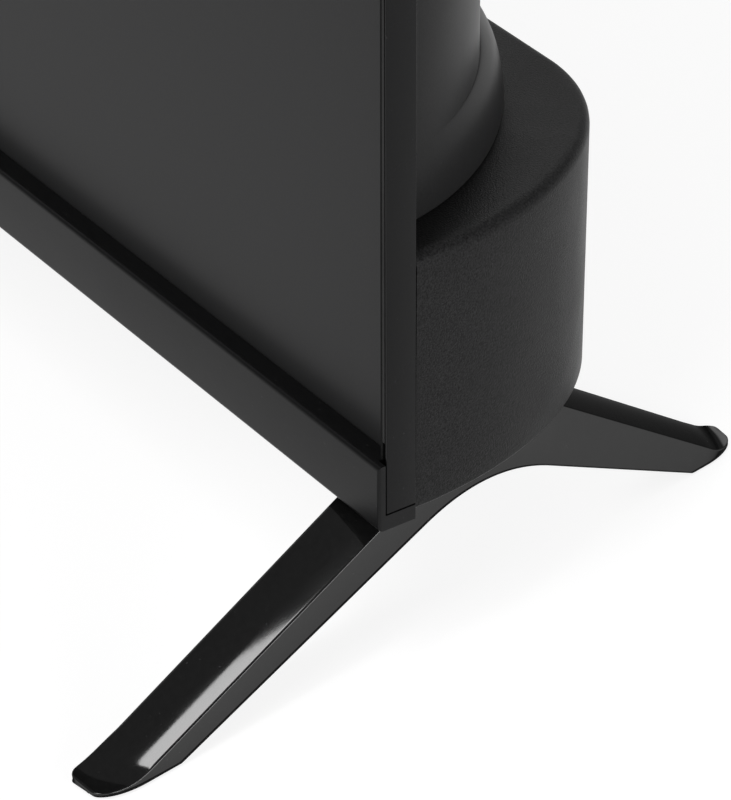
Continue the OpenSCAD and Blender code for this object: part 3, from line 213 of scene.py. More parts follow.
# smaller of two arrays with a rounded change over a width
def smoothMin(a, b, width):
    overlap = np.maximum(width - np.abs(a - b), 0) / width
    return np.minimum(a, b) - overlap ** 2 * width / 4


# larger of two arrays with a rounded change over a width
def smoothMax(a, b, width):
    return -smoothMin(-a, -b, width)


# shader node group that takes a vector and a scale, and puts out named values
def newGroup(name, scale, outputs):
    group = bpy.data.node_groups.new(name, "ShaderNodeTree")
    group.interface.new_socket("Vector", in_out="INPUT", socket_type="NodeSocketVector")
    scaleSocket = group.interface.new_socket("Scale", in_out="INPUT", socket_type="NodeSocketFloat")
    scaleSocket.default_value = scale
    for label in outputs:
        group.interface.new_socket(label, in_out="OUTPUT", socket_type="NodeSocketFloat")
    return group, group.nodes.new("NodeGroupInput"), group.nodes.new("NodeGroupOutput")


# node with set properties and input values, keyed by name or by number
def addNode(tree, kind, values=(), **properties):
    node = tree.nodes.new(kind)
    for key, value in properties.items():
        setattr(node, key, value)
    for key, value in dict(values).items():
        node.inputs[key].default_value = value
    return node


# value spread from one range to another, kept inside the second
def mapRange(tree, source, fromLow, fromHigh, toLow, toHigh):
    node = addNode(tree, "ShaderNodeMapRange", {1: fromLow, 2: fromHigh, 3: toLow, 4: toHigh})
    tree.links.new(source, node.inputs[0])
    return node.outputs[0]


grainLook = dict(scale=1500.0, detail=3.0, rough=0.6, noiseScale=0.8, noiseShare=0.5, mottle=(0.32, 0.68))


# moulded grain: rounded cells broken up by coarser noise, as a height and as a pale and dark mottle
def makeGrainGroup():
    group, inside, outside = newGroup("mouldGrain", grainLook["scale"], ("Height", "Mottle"))
    link = group.links.new
    cells = addNode(group, "ShaderNodeTexVoronoi", feature="SMOOTH_F1")
    noise = addNode(group, "ShaderNodeTexNoise",
                    {"Detail": grainLook["detail"], "Roughness": grainLook["rough"]})
    coarser = addNode(group, "ShaderNodeMath", {1: grainLook["noiseScale"]}, operation="MULTIPLY")
    blend = addNode(group, "ShaderNodeMix", {0: grainLook["noiseShare"]}, data_type="FLOAT")
    link(inside.outputs["Vector"], cells.inputs["Vector"])
    link(inside.outputs["Vector"], noise.inputs["Vector"])
    link(inside.outputs["Scale"], cells.inputs["Scale"])
    link(inside.outputs["Scale"], coarser.inputs[0])
    link(coarser.outputs[0], noise.inputs["Scale"])
    link(cells.outputs["Distance"], blend.inputs[2])
    link(noise.outputs["Fac"], blend.inputs[3])
    link(blend.outputs[0], outside.inputs["Height"])
    link(mapRange(group, noise.outputs["Fac"], *grainLook["mottle"], 0, 1), outside.inputs["Mottle"])
    return group


# mask from one noise texture: nothing below the first limit, full above the second
def makeMaskGroup(name, look):
    group, inside, outside = newGroup(name, look["scale"], ("Mask",))
    link = group.links.new
    noise = addNode(group, "ShaderNodeTexNoise", look["noise"])
    link(inside.outputs["Vector"], noise.inputs["Vector"])
    link(inside.outputs["Scale"], noise.inputs["Scale"])
    link(mapRange(group, noise.outputs["Fac"], *look["limits"], 0, 1), outside.inputs["Mask"])
    return group


# broad handling marks, and sparse specks of dust with their grey
marksLook = dict(scale=30.0, noise={"Detail": 4.0, "Roughness": 0.55, "Distortion": 0.6}, limits=(0.35, 0.7))
dustLook = dict(scale=900.0, noise={"Detail": 2.0}, limits=(0.72, 0.8), grey=(0.4, 0.4, 0.4, 1))
grainGroup = makeGrainGroup()
marksGroup = makeMaskGroup("handlingMarks", marksLook)
dustGroup = makeMaskGroup("fineDust", dustLook)
finishBase = dict(marks=30.0, stretch=(1, 1, 1), dust=0.0, depth=0.00005, rimBlend=0.5, set={})


# material whose colour and roughness vary with marks, dust and grain, with the grain as its bump; a dull look
# loses its gloss towards the rim
def makeFinish(name, ownLook):
    look = {**finishBase, **ownLook}
    material = bpy.data.materials.new(name)
    material.use_nodes = True
    tree = material.node_tree
    link = tree.links.new
    shader = tree.nodes["Principled BSDF"]
    for label, value in look["set"].items():
        shader.inputs[label].default_value = value
    place = addNode(tree, "ShaderNodeTexCoord")
    stretch = addNode(tree, "ShaderNodeMapping", {"Scale": look["stretch"]})
    grain = addNode(tree, "ShaderNodeGroup", node_tree=grainGroup)
    marks = addNode(tree, "ShaderNodeGroup", node_tree=marksGroup)
    dust = addNode(tree, "ShaderNodeGroup", node_tree=dustGroup)
    grain.inputs["Scale"].default_value = look["grain"]
    marks.inputs["Scale"].default_value = look["marks"]
    link(place.outputs["Object"], stretch.inputs["Vector"])
    link(stretch.outputs["Vector"], grain.inputs["Vector"])
    link(place.outputs["Object"], marks.inputs["Vector"])
    link(place.outputs["Object"], dust.inputs["Vector"])
    tone = addNode(tree, "ShaderNodeMix", {6: (*look["dark"], 1), 7: (*look["pale"], 1)}, data_type="RGBA")
    link(grain.outputs["Mottle"], tone.inputs[0])
    specks = addNode(tree, "ShaderNodeMix", {7: dustLook["grey"]}, data_type="RGBA")
    link(mapRange(tree, dust.outputs["Mask"], 0, 1, 0, look["dust"]), specks.inputs[0])
    link(tone.outputs[2], specks.inputs[6])
    link(specks.outputs[2], shader.inputs["Base Color"])
    link(mapRange(tree, marks.outputs["Mask"], 0, 1, *look["rough"]), shader.inputs["Roughness"])
    if "dull" in look:
        weight = addNode(tree, "ShaderNodeLayerWeight", {"Blend": look["rimBlend"]})
        link(mapRange(tree, weight.outputs["Facing"], *look["dull"]), shader.inputs["IOR"])
    if "bump" in look:
        bump = addNode(tree, "ShaderNodeBump", {"Strength": look["bump"], "Distance": look["depth"]})
        link(grain.outputs["Height"], bump.inputs["Height"])
        link(bump.outputs["Normal"], shader.inputs["Normal"])
    return material


# dark and pale tone, roughness range, grain scale, and what departs from the base or is set on the shader
finishLooks = {
    "screen_glass": dict(dark=(0.024, 0.024, 0.0244), pale=(0.027, 0.027, 0.0274), rough=(0.34, 0.38),
                         grain=2500.0, marks=9.0, bump=0.05, set={"Specular IOR Level": 0.08}),
    "bezel_plastic": dict(dark=(0.005, 0.005, 0.0052), pale=(0.007, 0.007, 0.0072), rough=(0.3, 0.36),
                          grain=2600.0, stretch=(0.12, 1, 1), bump=0.06, dust=0.05,
                          set={"Specular IOR Level": 0.14}),
    "strip_paint": dict(dark=(0.0025, 0.0025, 0.0027), pale=(0.004, 0.004, 0.0042), rough=(0.26, 0.32),
                        grain=2200.0, bump=0.05, dust=0.04, set={"Specular IOR Level": 0.145}),
    "cover_plastic": dict(dark=(0.016, 0.016, 0.0162), pale=(0.021, 0.021, 0.0212), rough=(0.32, 0.38),
                          grain=2400.0, bump=0.07, dust=0.05, set={"Specular IOR Level": 0.05}),
    "housing_plastic": dict(dark=(0.006, 0.006, 0.0061), pale=(0.022, 0.022, 0.0223), rough=(0.36, 0.44),
                            grain=2800.0, bump=1.0, depth=0.00014, dust=0.05,
                            set={"Specular IOR Level": 0.06}),
    "foot_gloss": dict(dark=(0.004, 0.004, 0.004), pale=(0.006, 0.006, 0.006), rough=(0.05, 0.08),
                       grain=900.0, marks=40.0, bump=0.02, dust=0.08, dull=(0.34, 0.62, 1.5, 1.02)),
    "pad_rubber": dict(dark=(0.004, 0.004, 0.004), pale=(0.008, 0.008, 0.008), rough=(0.8, 0.9),
                       grain=1800.0, bump=0.3, set={"Specular IOR Level": 0.1}),
    "inner_plastic": dict(dark=(0.01, 0.01, 0.01), pale=(0.016, 0.016, 0.016), rough=(0.45, 0.55),
                          grain=1800.0, bump=0.15, set={"Specular IOR Level": 0.12}),
    "film_white": dict(dark=(0.76, 0.77, 0.77), pale=(0.82, 0.83, 0.83), rough=(0.4, 0.5),
                       grain=1500.0, bump=0.05),
    "bar_white": dict(dark=(0.7, 0.72, 0.7), pale=(0.8, 0.82, 0.8), rough=(0.4, 0.5), grain=1500.0, bump=0.1),
    "lens_clear": dict(dark=(0.85, 0.9, 0.92), pale=(0.92, 0.95, 0.96), rough=(0.05, 0.1), grain=900.0,
                       set={"Transmission Weight": 0.8}),
    "zinc_steel": dict(dark=(0.5, 0.52, 0.53), pale=(0.62, 0.64, 0.65), rough=(0.32, 0.42), grain=900.0,
                       bump=0.1, set={"Metallic": 1.0}),
    "dark_steel": dict(dark=(0.06, 0.06, 0.065), pale=(0.1, 0.1, 0.105), rough=(0.35, 0.45), grain=1400.0,
                       bump=0.1, set={"Metallic": 1.0}),
    "board_green": dict(dark=(0.012, 0.09, 0.035), pale=(0.03, 0.16, 0.07), rough=(0.35, 0.5), grain=350.0,
                        bump=0.2),
    "heatsink_metal": dict(dark=(0.48, 0.5, 0.51), pale=(0.58, 0.6, 0.61), rough=(0.35, 0.45), grain=1200.0,
                           stretch=(1, 1, 0.1), bump=0.1, set={"Metallic": 1.0}),
    "socket_metal": dict(dark=(0.55, 0.56, 0.57), pale=(0.65, 0.66, 0.67), rough=(0.25, 0.35), grain=1200.0,
                         bump=0.05, set={"Metallic": 1.0}),
    "coil_brown": dict(dark=(0.1, 0.05, 0.025), pale=(0.2, 0.11, 0.06), rough=(0.4, 0.55), grain=900.0,
                       bump=0.2),
    "wire_sleeve": dict(dark=(0.03, 0.03, 0.03), pale=(0.05, 0.05, 0.05), rough=(0.5, 0.6), grain=1500.0,
                        bump=0.1),
    "cone_paper": dict(dark=(0.02, 0.02, 0.019), pale=(0.05, 0.05, 0.048), rough=(0.8, 0.9), grain=1200.0,
                       bump=0.4),
    "window_tint": dict(dark=(0.012, 0.003, 0.004), pale=(0.016, 0.004, 0.005), rough=(0.08, 0.12),
                        grain=900.0),
}
finishes = {slot: makeFinish(slot, look) for slot, look in finishLooks.items()}
print("stage: finishes made")

# rear housing
housing = dict(corner=55.0, lead=0.05, frontGap=0.15, draft=0.4, lowEdge=0.8, wall=2.5, topRadius=3.0,
               rimClear=2.1, rimBack=0.75, ledgeX=74.6, ledgeDepth=69.0, fullness=1.8, coverCentre=90.0,
               cornerSteps=72, edgeSteps=7, wallSteps=6, ledgeSteps=5)
housingY = frameBack + housing["frontGap"]
housingDepth = housingHigh[1] - housingY


# right half of an outline at one height, then its mirror image in reverse order
def mirrorOutline(x, y, z):
    right = np.column_stack([x, y, np.full_like(x, z)])
    return np.vstack([right, right[::-1] * (-1, 1, 1)])


# ellipse corner: x is the side less the corner plus its cosine share, y the depth times its sine
def housingOutline(z, inset, startY):
    turn = quarterTurn(housing["cornerSteps"])
    x = halfWidth - housing["corner"] + (housing["corner"] - inset) * np.cos(turn)
    y = housingY + housing["lead"] + (housingDepth - housing["lead"] - inset) * np.sin(turn)
    return mirrorOutline(x, np.maximum(y, startY), z)


# superellipse of the ledge: cosine and sine raised to two over the fullness
def ledgeOutline(z, startY):
    turn = quarterTurn(housing["cornerSteps"])
    power = 2 / housing["fullness"]
    x = halfWidth - housing["coverCentre"] + housing["ledgeX"] * np.cos(turn) ** power
    depth = frameBack + housing["ledgeDepth"] - housingY - housing["lead"]
    y = housingY + housing["lead"] + depth * np.sin(turn) ** power
    return mirrorOutline(x, np.maximum(y, startY), z)


# rows of outlines from the underside's front edge, round the lower edge, up the wall, round the top and in to
# the ledge, with an inner wall at a set distance
def makeHousing():
    low, top, wall = housingLow[2], housingHigh[2], housing["wall"]
    edge, radius, draft = housing["lowEdge"], housing["topRadius"], housing["draft"]
    clear, front = housing["rimClear"], housingY + housing["lead"]
    rimGap, behind = wall + draft + clear, coverLow[1] + housing["rimBack"] * clear
    turns, steps, ledgeSteps = quarterTurn(housing["edgeSteps"]), housing["wallSteps"], housing["ledgeSteps"]
    levels = [(low + edge * (1 - math.cos(a)), draft + edge * (1 - math.sin(a))) for a in turns]
    levels += [(low + edge + (top - radius - low - edge) * k / steps, draft * (1 - k / steps))
               for k in range(1, steps)]
    levels += [(top - radius * (1 - math.sin(a)), radius * (1 - math.cos(a))) for a in turns]
    outer = [housingOutline(z, inset, front) for z, inset in levels]
    inner = [housingOutline(np.clip(z, low + wall, top - wall), inset + wall,
                            front if inset + wall < rimGap - clear / 2 else behind) for z, inset in levels]
    for rows, z, inset in ((outer, top, rimGap), (inner, top - wall, wall + radius + clear / 3)):
        rows.insert(0, rows[0] * (1, 0, 1) + (0, housingY, 0))
        start, end = housingOutline(z, inset, behind), ledgeOutline(z, behind)
        rows += [start + (end - start) * k / ledgeSteps for k in range(ledgeSteps + 1)]
    return makePiece("rearHousing", *shellMesh(np.array(outer), np.array(inner)))


# openings for the two bays, the speakers and the screws, with a tube round each screw's well
housingPiece = makeHousing()
holes = dict(wellRadius=3.2, wellWall=1.6, wellIn=30.0, wellOut=4.0, tubeBite=0.2, headRadius=2.8,
             headHigh=2.2, slotWide=2.4, slotPitch=5.0, slotCount=9, slotRun=28.0, slotBelow=2.0,
             slotAbove=4.0, bayGap=0.3, bayPast=3.0)
coneLow, coneHigh = nodeBox("speaker_cone_right")
coneX, coneY = (coneLow + coneHigh)[:2] / 2
gap = np.array([holes["bayGap"], holes["bayPast"], holes["bayGap"]])
bays = (nodeBox("socket_bay"), nodeBox("inlet_bay"))
housingCuts = [boxShape(low - gap, high + gap) for low, high in bays]
slotsX = [side * coneX + (k - holes["slotCount"] // 2) * holes["slotPitch"]
          for side in (-1, 1) for k in range(holes["slotCount"])]
slotLow, slotHigh = housingLow[2] - holes["slotBelow"], housingLow[2] + holes["slotAbove"]
housingCuts += [slotShape((x, coneY, 0), holes["slotWide"] / 2, holes["slotRun"] - holes["slotWide"], alongZ,
                          slotLow, slotHigh) for x in slotsX]
screwHigh = nodeBox("housing_screws")[1]
wellSide, wellZ = screwHigh[0] - holes["headRadius"], screwHigh[2] - holes["headRadius"]
wells = [(x, 0, wellZ) for x in (-wellSide, 0, wellSide)]
housingCuts += [rodShape(well, holes["wellRadius"], alongY, housingHigh[1] - holes["wellIn"],
                         housingHigh[1] + holes["wellOut"]) for well in wells]
cutAway(housingPiece, housingCuts)
tubeStart = screwHigh[1] - holes["headHigh"]
tubeEnd = housingHigh[1] - housing["wall"] + holes["tubeBite"]
addShapes(housingPiece, [tubeShape(well, holes["wellRadius"], holes["wellRadius"] + holes["wellWall"], alongY,
                                   tubeStart, tubeEnd) for well in wells])
finishPiece(housingPiece, ["rear_housing"])

# upper rear cover; rows counts the skirt's, the shoulder's, the lower wall's and the upper wall's rows
cover = dict(centre=90.0, corner=78.6, fullness=1.8, depth=73.0, wall=2.2, bend=175.4, dome=170.0, tuck=4.2,
             tuckLip=0.8, tuckHigh=78.19, tuckRun=15.0, tuckSlack=0.01, shoulderRun=18.0, shoulderDrop=12.35,
             shoulderStep=9.5, shoulderShift=0.75, blend=4.5, lip=0.5, cornerSteps=72, lipSteps=5,
             firstRow=1.0, skirtEnd=4.0, shoulderFrom=3.9, shoulderPast=3.0, wallFrom=30.0,
             rows=(24, 70, 4, 4), domeFrom=0.05, domeRows=44, sharp=24)


# step of the skirt: a quarter ellipse that runs in to a set depth, with a rounded change
def shoulderIn(height):
    share = np.clip(height / cover["shoulderRun"], 0, 1)
    drop = cover["shoulderDrop"] * (1 - math.sqrt(1 - share * share))
    return float(smoothMin(np.array(drop), np.array(cover["shoulderStep"]), cover["blend"]))


# superellipse corner from the frame's back, its depth domed above the bend, with the flange's edge first
def coverOutline(z, inset, startY, topInset):
    turn = quarterTurn(cover["cornerSteps"])
    power = 2 / cover["fullness"]
    height = z - coverLow[2]
    rise = max(0.0, (height - cover["bend"]) / (cover["dome"] - topInset))
    dome = math.sqrt(max(0.0, 1 - rise * rise))
    step = shoulderIn(height + cover["shoulderShift"] * topInset)
    depth = max(0.0, cover["depth"] - step - inset) * dome
    x = halfWidth - cover["centre"] + (cover["corner"] - inset) * np.cos(turn) ** power
    y = np.maximum(startY, frameBack + depth * np.sin(turn) ** power)
    wide = height > cover["tuckHigh"] + cover["tuckSlack"]
    edgeX = coverHigh[0] if wide else halfWidth - cover["tuck"]
    edgeY = startY if wide else min(startY, coverLow[1] + cover["tuckLip"])
    return mirrorOutline(np.append(edgeX, x), np.append(edgeY, y), z)


# rows of outlines from the skirt's rounded lower edge up the shoulder, the wall and the dome to the flange
def makeCover():
    low, lip, bend = coverLow[2], cover["lip"], cover["bend"]
    flangeBack, rimBack = coverLow[1] + cover["wall"], coverLow[1]
    tuck, run = cover["tuckHigh"], cover["shoulderRun"]
    skirtRows, shoulderRows, wallRows, upperRows = cover["rows"]
    heights = np.concatenate([
        np.linspace(cover["firstRow"], run - cover["skirtEnd"], skirtRows),
        np.linspace(run - cover["shoulderFrom"], run + cover["shoulderPast"], shoulderRows),
        np.linspace(cover["wallFrom"], tuck, wallRows),
        np.linspace(tuck + cover["tuckRun"], bend, upperRows)])
    domeTurns = np.linspace(cover["domeFrom"], np.pi / 2, cover["domeRows"])
    lipTurns = quarterTurn(cover["lipSteps"])
    levels = [(low + lip * (1 - math.cos(a)), lip * (1 - math.sin(a))) for a in lipTurns]
    levels += [(low + height, 0.0) for height in heights]
    levels += [(low + bend + cover["dome"] * math.sin(a), 0.0) for a in domeTurns]
    levels.append((coverHigh[2], 0.0))
    outer = np.array([coverOutline(z, inset, flangeBack, 0.0) for z, inset in levels])
    inner = np.array([coverOutline(level[0], cover["wall"], rimBack, cover["wall"]) for level in levels])
    return makePiece("upperRearCover", *shellMesh(outer, inner))


# openings for the mounting posts and a row of vents above their middle
coverPiece = makeCover()
posts = dict(head=6.0, radius=6.3, cutIn=8.0, cutOut=12.0)
vents = dict(count=22, wide=3.0, tall=22.0, pitch=7.0, above=30.0, cutIn=20.0, cutOut=10.0)
postLow, postHigh = nodeBox("wall_mount_posts")
postX = postHigh[0] - posts["head"]
postZ = (postLow[2] + posts["head"], postHigh[2] - posts["head"])
coverCuts = [rodShape((side * postX, 0, z), posts["radius"], alongY, postHigh[1] - posts["cutIn"],
                      postHigh[1] + posts["cutOut"]) for side in (-1, 1) for z in postZ]
ventZ = sum(postZ) / 2 + vents["above"]
ventsX = [(k - (vents["count"] - 1) / 2) * vents["pitch"] for k in range(vents["count"])]
coverCuts += [slotShape((x, 0, ventZ), vents["wide"] / 2, vents["tall"] - vents["wide"], alongY,
                        coverHigh[1] - vents["cutIn"], coverHigh[1] + vents["cutOut"]) for x in ventsX]
cutAway(coverPiece, coverCuts)
finishPiece(coverPiece, ["upper_rear_cover"], cover["sharp"])
print("stage: rear shells made")

# feet
foot = dict(yaw=8.7, inset=20.8, setBack=33.7, width=14.0, crown=3.4, crownPower=1.6, flatFront=19.8,
            flatRear=17.0, frontReach=122.0, rearReach=82.0, frontSlope=23.4, rearSlope=34.6, frontHeel=102.0,
            rearHeel=66.5, frontUnder=20.4, rearUnder=27.0, archBlend=17.6, toe=2.6, toeEdge=1.8, toeRun=12.0,
            toeWidth=8.5, toeCorner=2.6, frontTaper=1.0, rearTaper=4.0, radius=1.2, edge=0.3, lowEdge=0.3,
            endEdge=0.5, rubber=0.8, rings=240, crownSteps=26, edgeSteps=5, bendSteps=9, headRadius=4.1,
            screwRadius=2.3, screwGap=20.0, seat=6.0, cutPast=1.0, sharp=40)


# amount by which a side draws in near a toe's end: a quarter of an ellipse
def drawIn(toEnd, run, most):
    return most * (1 - np.sqrt(1 - np.clip(1 - toEnd / run, 0, 1) ** 2))


# rise for each millimetre along the foot: the tangent of one of its angles
def footRise(angleName):
    return math.tan(math.radians(foot[angleName]))


# upper side: flat under the housing, sloping to both toes, raised by the crown and rounded into the toe
def footOver(s, lift):
    top = housingLow[2]
    front = top + lift + (s + foot["flatFront"]) * footRise("frontSlope")
    rear = top + lift - (s - foot["flatRear"]) * footRise("rearSlope")
    toeTop = foot["toeEdge"] + (foot["toe"] - foot["toeEdge"]) * lift / foot["crown"]
    return smoothMax(toeTop + 0 * front, np.minimum(top, np.minimum(front, rear)), foot["toe"])


# rings across the foot: rounded lower edges, flat sides, a crowned top that falls outwards, round inner edge
def footRings():
    frontReach, rearReach, half = foot["frontReach"], foot["rearReach"], foot["width"] / 2
    flatFront, flatRear = foot["flatFront"], foot["flatRear"]
    turns = np.linspace(0, np.pi, foot["rings"])
    s = ((rearReach - frontReach) / 2 - (rearReach + frontReach) / 2 * np.cos(turns))[:, None]
    toEnd = np.minimum(s + frontReach, rearReach - s)
    pull = drawIn(toEnd, foot["endEdge"], foot["endEdge"])
    under = smoothMin((s + foot["frontHeel"]) * footRise("frontUnder"),
                      (foot["rearHeel"] - s) * footRise("rearUnder"), foot["archBlend"])
    low = np.maximum(foot["rubber"], under) + pull
    taper = np.maximum(foot["frontTaper"] * (-s - flatFront) / (frontReach - flatFront),
                       foot["rearTaper"] * (s - flatRear) / (rearReach - flatRear))
    outward = half - drawIn(toEnd, foot["toeRun"], foot["width"] - foot["toeWidth"]) - pull
    inward = half - drawIn(toEnd, foot["toeCorner"], foot["toeCorner"]) - np.maximum(taper, 0) - pull

    # height of the crowned top at a distance outwards: the crown falls by a power of the share across
    def top(at):
        share = np.clip((at + inward) / (outward + inward), 0, 1)
        return footOver(s + 0 * at, foot["crown"] * (1 - share ** foot["crownPower"])) - pull

    radius = np.minimum(foot["radius"], (footOver(s, 0.0) - 2 * pull - foot["rubber"]) / 3)
    edge, lowEdge = foot["edge"], foot["lowEdge"]
    turn = quarterTurn(foot["edgeSteps"])[None, :]
    bend = quarterTurn(foot["bendSteps"])[None, :]
    step = np.linspace(0, 1, foot["edgeSteps"])[None, :]
    crownStep = np.linspace(0, 1, foot["crownSteps"])[None, :]
    crownAt = outward - edge - (outward + inward - edge - radius) * crownStep
    edgeAt = outward - edge * step ** 2
    across = np.hstack([-inward + lowEdge * (1 - np.sin(turn)),
                        outward - lowEdge * (1 - np.sin(turn[:, ::-1])),
                        edgeAt[:, :-1], crownAt, (-inward + radius * (1 - np.sin(bend)))[:, 1:]])
    height = np.hstack([low + lowEdge * (1 - np.cos(turn[:, ::-1])), low + lowEdge * (1 - np.cos(turn)),
                        (top(edgeAt) - edge * (1 - step) ** 2)[:, :-1], top(crownAt),
                        (top(-inward + 0 * bend) - radius * (1 - np.cos(bend)))[:, 1:]])
    return s, across, height


# place in the set: run along the foot and distance outwards, turned by the yaw about the foot's middle
def footPlace(s, across, height):
    yaw = math.radians(foot["yaw"])
    x = halfWidth - foot["inset"] - s * math.sin(yaw) + across * math.cos(yaw)
    y = frameBack + foot["setBack"] + s * math.cos(yaw) + across * math.sin(yaw)
    return np.stack(np.broadcast_arrays(x, y, height), -1)


footShape = footPlace(*footRings())
footTop, seatZ = housingLow[2], housingLow[2] - foot["seat"]
for side, name, node in ((1, "footRight", "foot_right"), (-1, "footLeft", "foot_left")):
    piece = makePiece(name, *ringMesh(footShape[:, ::side] * (side, 1, 1)))
    screws = [footPlace(k * foot["screwGap"] / 2, 0.0, 0.0) * (side, 1, 1) for k in (-1, 1)]
    cutAway(piece, [rodShape(screw, foot["headRadius"], alongZ, -foot["cutPast"], seatZ) for screw in screws])
    cutAway(piece, [rodShape(screw, foot["screwRadius"], alongZ, seatZ - foot["cutPast"],
                             footTop + foot["cutPast"]) for screw in screws])
    finishPiece(piece, [node], foot["sharp"])
print("stage: feet made")

# bottom bezel
bezel = dict(radius=1.2, lowRadius=1.3, wall=2.0, blockHigh=4.1, blockLong=3.0, ledgeGap=0.3, endRadius=0.8,
             stripGap=0.3, buttonGap=0.4, windowGap=0.1, cutPast=1.0, steps=9, endSteps=8, bevel=0.18,
             bevelAngle=40.0, sharp=30)


# section of the bar carried along the width; near the ends the front falls back along a quarter circle
def makeBezel():
    front, top, back = bezelLow[1], bezelHigh[2], frameBack
    ledgeBack, blockTop = screenLow[1] - bezel["ledgeGap"], baseZ + bezel["blockHigh"]
    turn = quarterTurn(bezel["steps"])
    radius, lowRadius, endRadius = bezel["radius"], bezel["lowRadius"], bezel["endRadius"]
    section = np.vstack([
        [[back, baseZ], [back, blockTop], [ledgeBack, blockTop], [ledgeBack, top]],
        np.column_stack([front + radius * (1 - np.sin(turn)), top - radius * (1 - np.cos(turn))]),
        np.column_stack([front + lowRadius * (1 - np.cos(turn)), baseZ + lowRadius * (1 - np.sin(turn))])])
    toEnd = endRadius * (1 - np.cos(quarterTurn(bezel["endSteps"])))
    fall = endRadius - np.sqrt(np.maximum(endRadius ** 2 - (endRadius - toEnd) ** 2, 0))
    x = np.concatenate([-halfWidth + toEnd, halfWidth - toEnd[::-1]])
    pull = np.concatenate([fall, fall[::-1]])
    y = np.maximum(section[None, :, 0], front + pull[:, None])
    rings = np.stack(np.broadcast_arrays(x[:, None], y, section[None, :, 1]), -1)
    return makePiece("bottomBezel", *ringMesh(rings))


# hollow behind the front, room for the side strips, and openings for the button and the window
bezelPiece = makeBezel()
button = dict(wide=11.4, deep=3.4, high=4.3, round=0.5, corner=0.9, plate=1.0, steps=6, sharp=40)
window = dict(wide=20.0, high=5.0)
wall, past = bezel["wall"], bezel["cutPast"]
hollowX = halfWidth - bezel["blockLong"]
cutAway(bezelPiece, [boxShape((-hollowX, bezelLow[1] + wall, baseZ + wall),
                              (hollowX, frameBack + past, bezelHigh[2] - wall))])
stripX, stripY, stripZ = stripLow - bezel["stripGap"]
stripSides = ((-halfWidth - past, -stripX), (stripX, halfWidth + past))
cutAway(bezelPiece, [boxShape((lowX, stripY, stripZ), (highX, frameBack + past, bezelHigh[2] + past))
                     for lowX, highX in stripSides])
buttonLow, buttonHigh = nodeBox("power_button")
windowLow, windowHigh = nodeBox("ir_window")
buttonMid, windowMid = (buttonLow + buttonHigh) / 2, (windowLow + windowHigh) / 2
buttonSize = np.array([button["wide"], button["deep"]]) / 2 + bezel["buttonGap"]
windowSize = np.array([window["wide"], window["high"]]) / 2 + bezel["windowGap"]
cutAway(bezelPiece, [
    boxShape((*(buttonMid[:2] - buttonSize), baseZ - past),
             (*(buttonMid[:2] + buttonSize), baseZ + wall + past)),
    boxShape((windowMid[0] - windowSize[0], bezelLow[1] - past, windowMid[2] - windowSize[1]),
             (windowMid[0] + windowSize[0], bezelLow[1] + wall + past, windowMid[2] + windowSize[1]))])
finishPiece(bezelPiece, ["bottom_bezel"], bezel["sharp"])
softenEdges(bezelPiece, bezel["bevel"], bezel["bevelAngle"])

# side and top strips
strip = dict(wall=0.8, back=1.6, edge=0.15, lip=0.4, lipDeep=2.0, endGap=0.15, steps=5, sharp=40)


# L section with quarter-circle outer edges: outwards position and depth
def stripSection():
    turn = quarterTurn(strip["steps"])
    edge, wall = strip["edge"], strip["wall"]
    depth = frameBack - stripLow[1]
    frontEdge = np.column_stack([-edge * (1 - np.sin(turn)), edge * (1 - np.cos(turn))])
    backEdge = np.column_stack([-edge * (1 - np.cos(turn)), depth - edge * (1 - np.sin(turn))])
    inner = [[-wall - strip["back"], depth], [-wall - strip["back"], depth - wall], [-wall, depth - wall],
             [-wall, strip["lipDeep"]], [-strip["lip"], strip["lipDeep"]], [-strip["lip"], 0]]
    return np.vstack([frontEdge, backEdge, inner])


section = stripSection()
for side, name, node in ((1, "stripRight", "side_frame_right"), (-1, "stripLeft", "side_frame_left")):
    rings = np.array([np.column_stack([side * (halfWidth + section[:, 0]), stripLow[1] + section[:, 1],
                                       np.full(len(section), z)])
                      for z in (stripLow[2] + strip["endGap"], stripHigh[2])])
    finishPiece(makePiece(name, *ringMesh(rings)), [node], strip["sharp"])
topLow, topHigh = nodeBox("top_frame")
rings = np.array([np.column_stack([np.full(len(section), x), stripLow[1] + section[:, 1],
                                   topHigh[2] + section[:, 0]]) for x in (topLow[0], topHigh[0])])
finishPiece(makePiece("stripTop", *ringMesh(rings)), ["top_frame"], strip["sharp"])

# picture panel
panel = dict(edge=0.25, steps=5, sharp=40)


# slab: a front face with rounded edges, sides and back, as rings from the back to the front
def makePanel():
    turn = quarterTurn(panel["steps"])
    inset = np.concatenate([[0.0], panel["edge"] * (1 - np.cos(turn))])
    y = np.concatenate([[screenHigh[1]], screenLow[1] + panel["edge"] * (1 - np.sin(turn))])
    low, high = screenLow, screenHigh
    corners = np.array([[low[0], low[2], 1, 1], [high[0], low[2], -1, 1], [high[0], high[2], -1, -1],
                        [low[0], high[2], 1, -1]])
    x = corners[None, :, 0] + inset[:, None] * corners[None, :, 2]
    z = corners[None, :, 1] + inset[:, None] * corners[None, :, 3]
    return makePiece("picturePanel", *ringMesh(np.stack(np.broadcast_arrays(x, y[:, None], z), -1)))


finishPiece(makePanel(), ["screen_panel"], panel["sharp"])

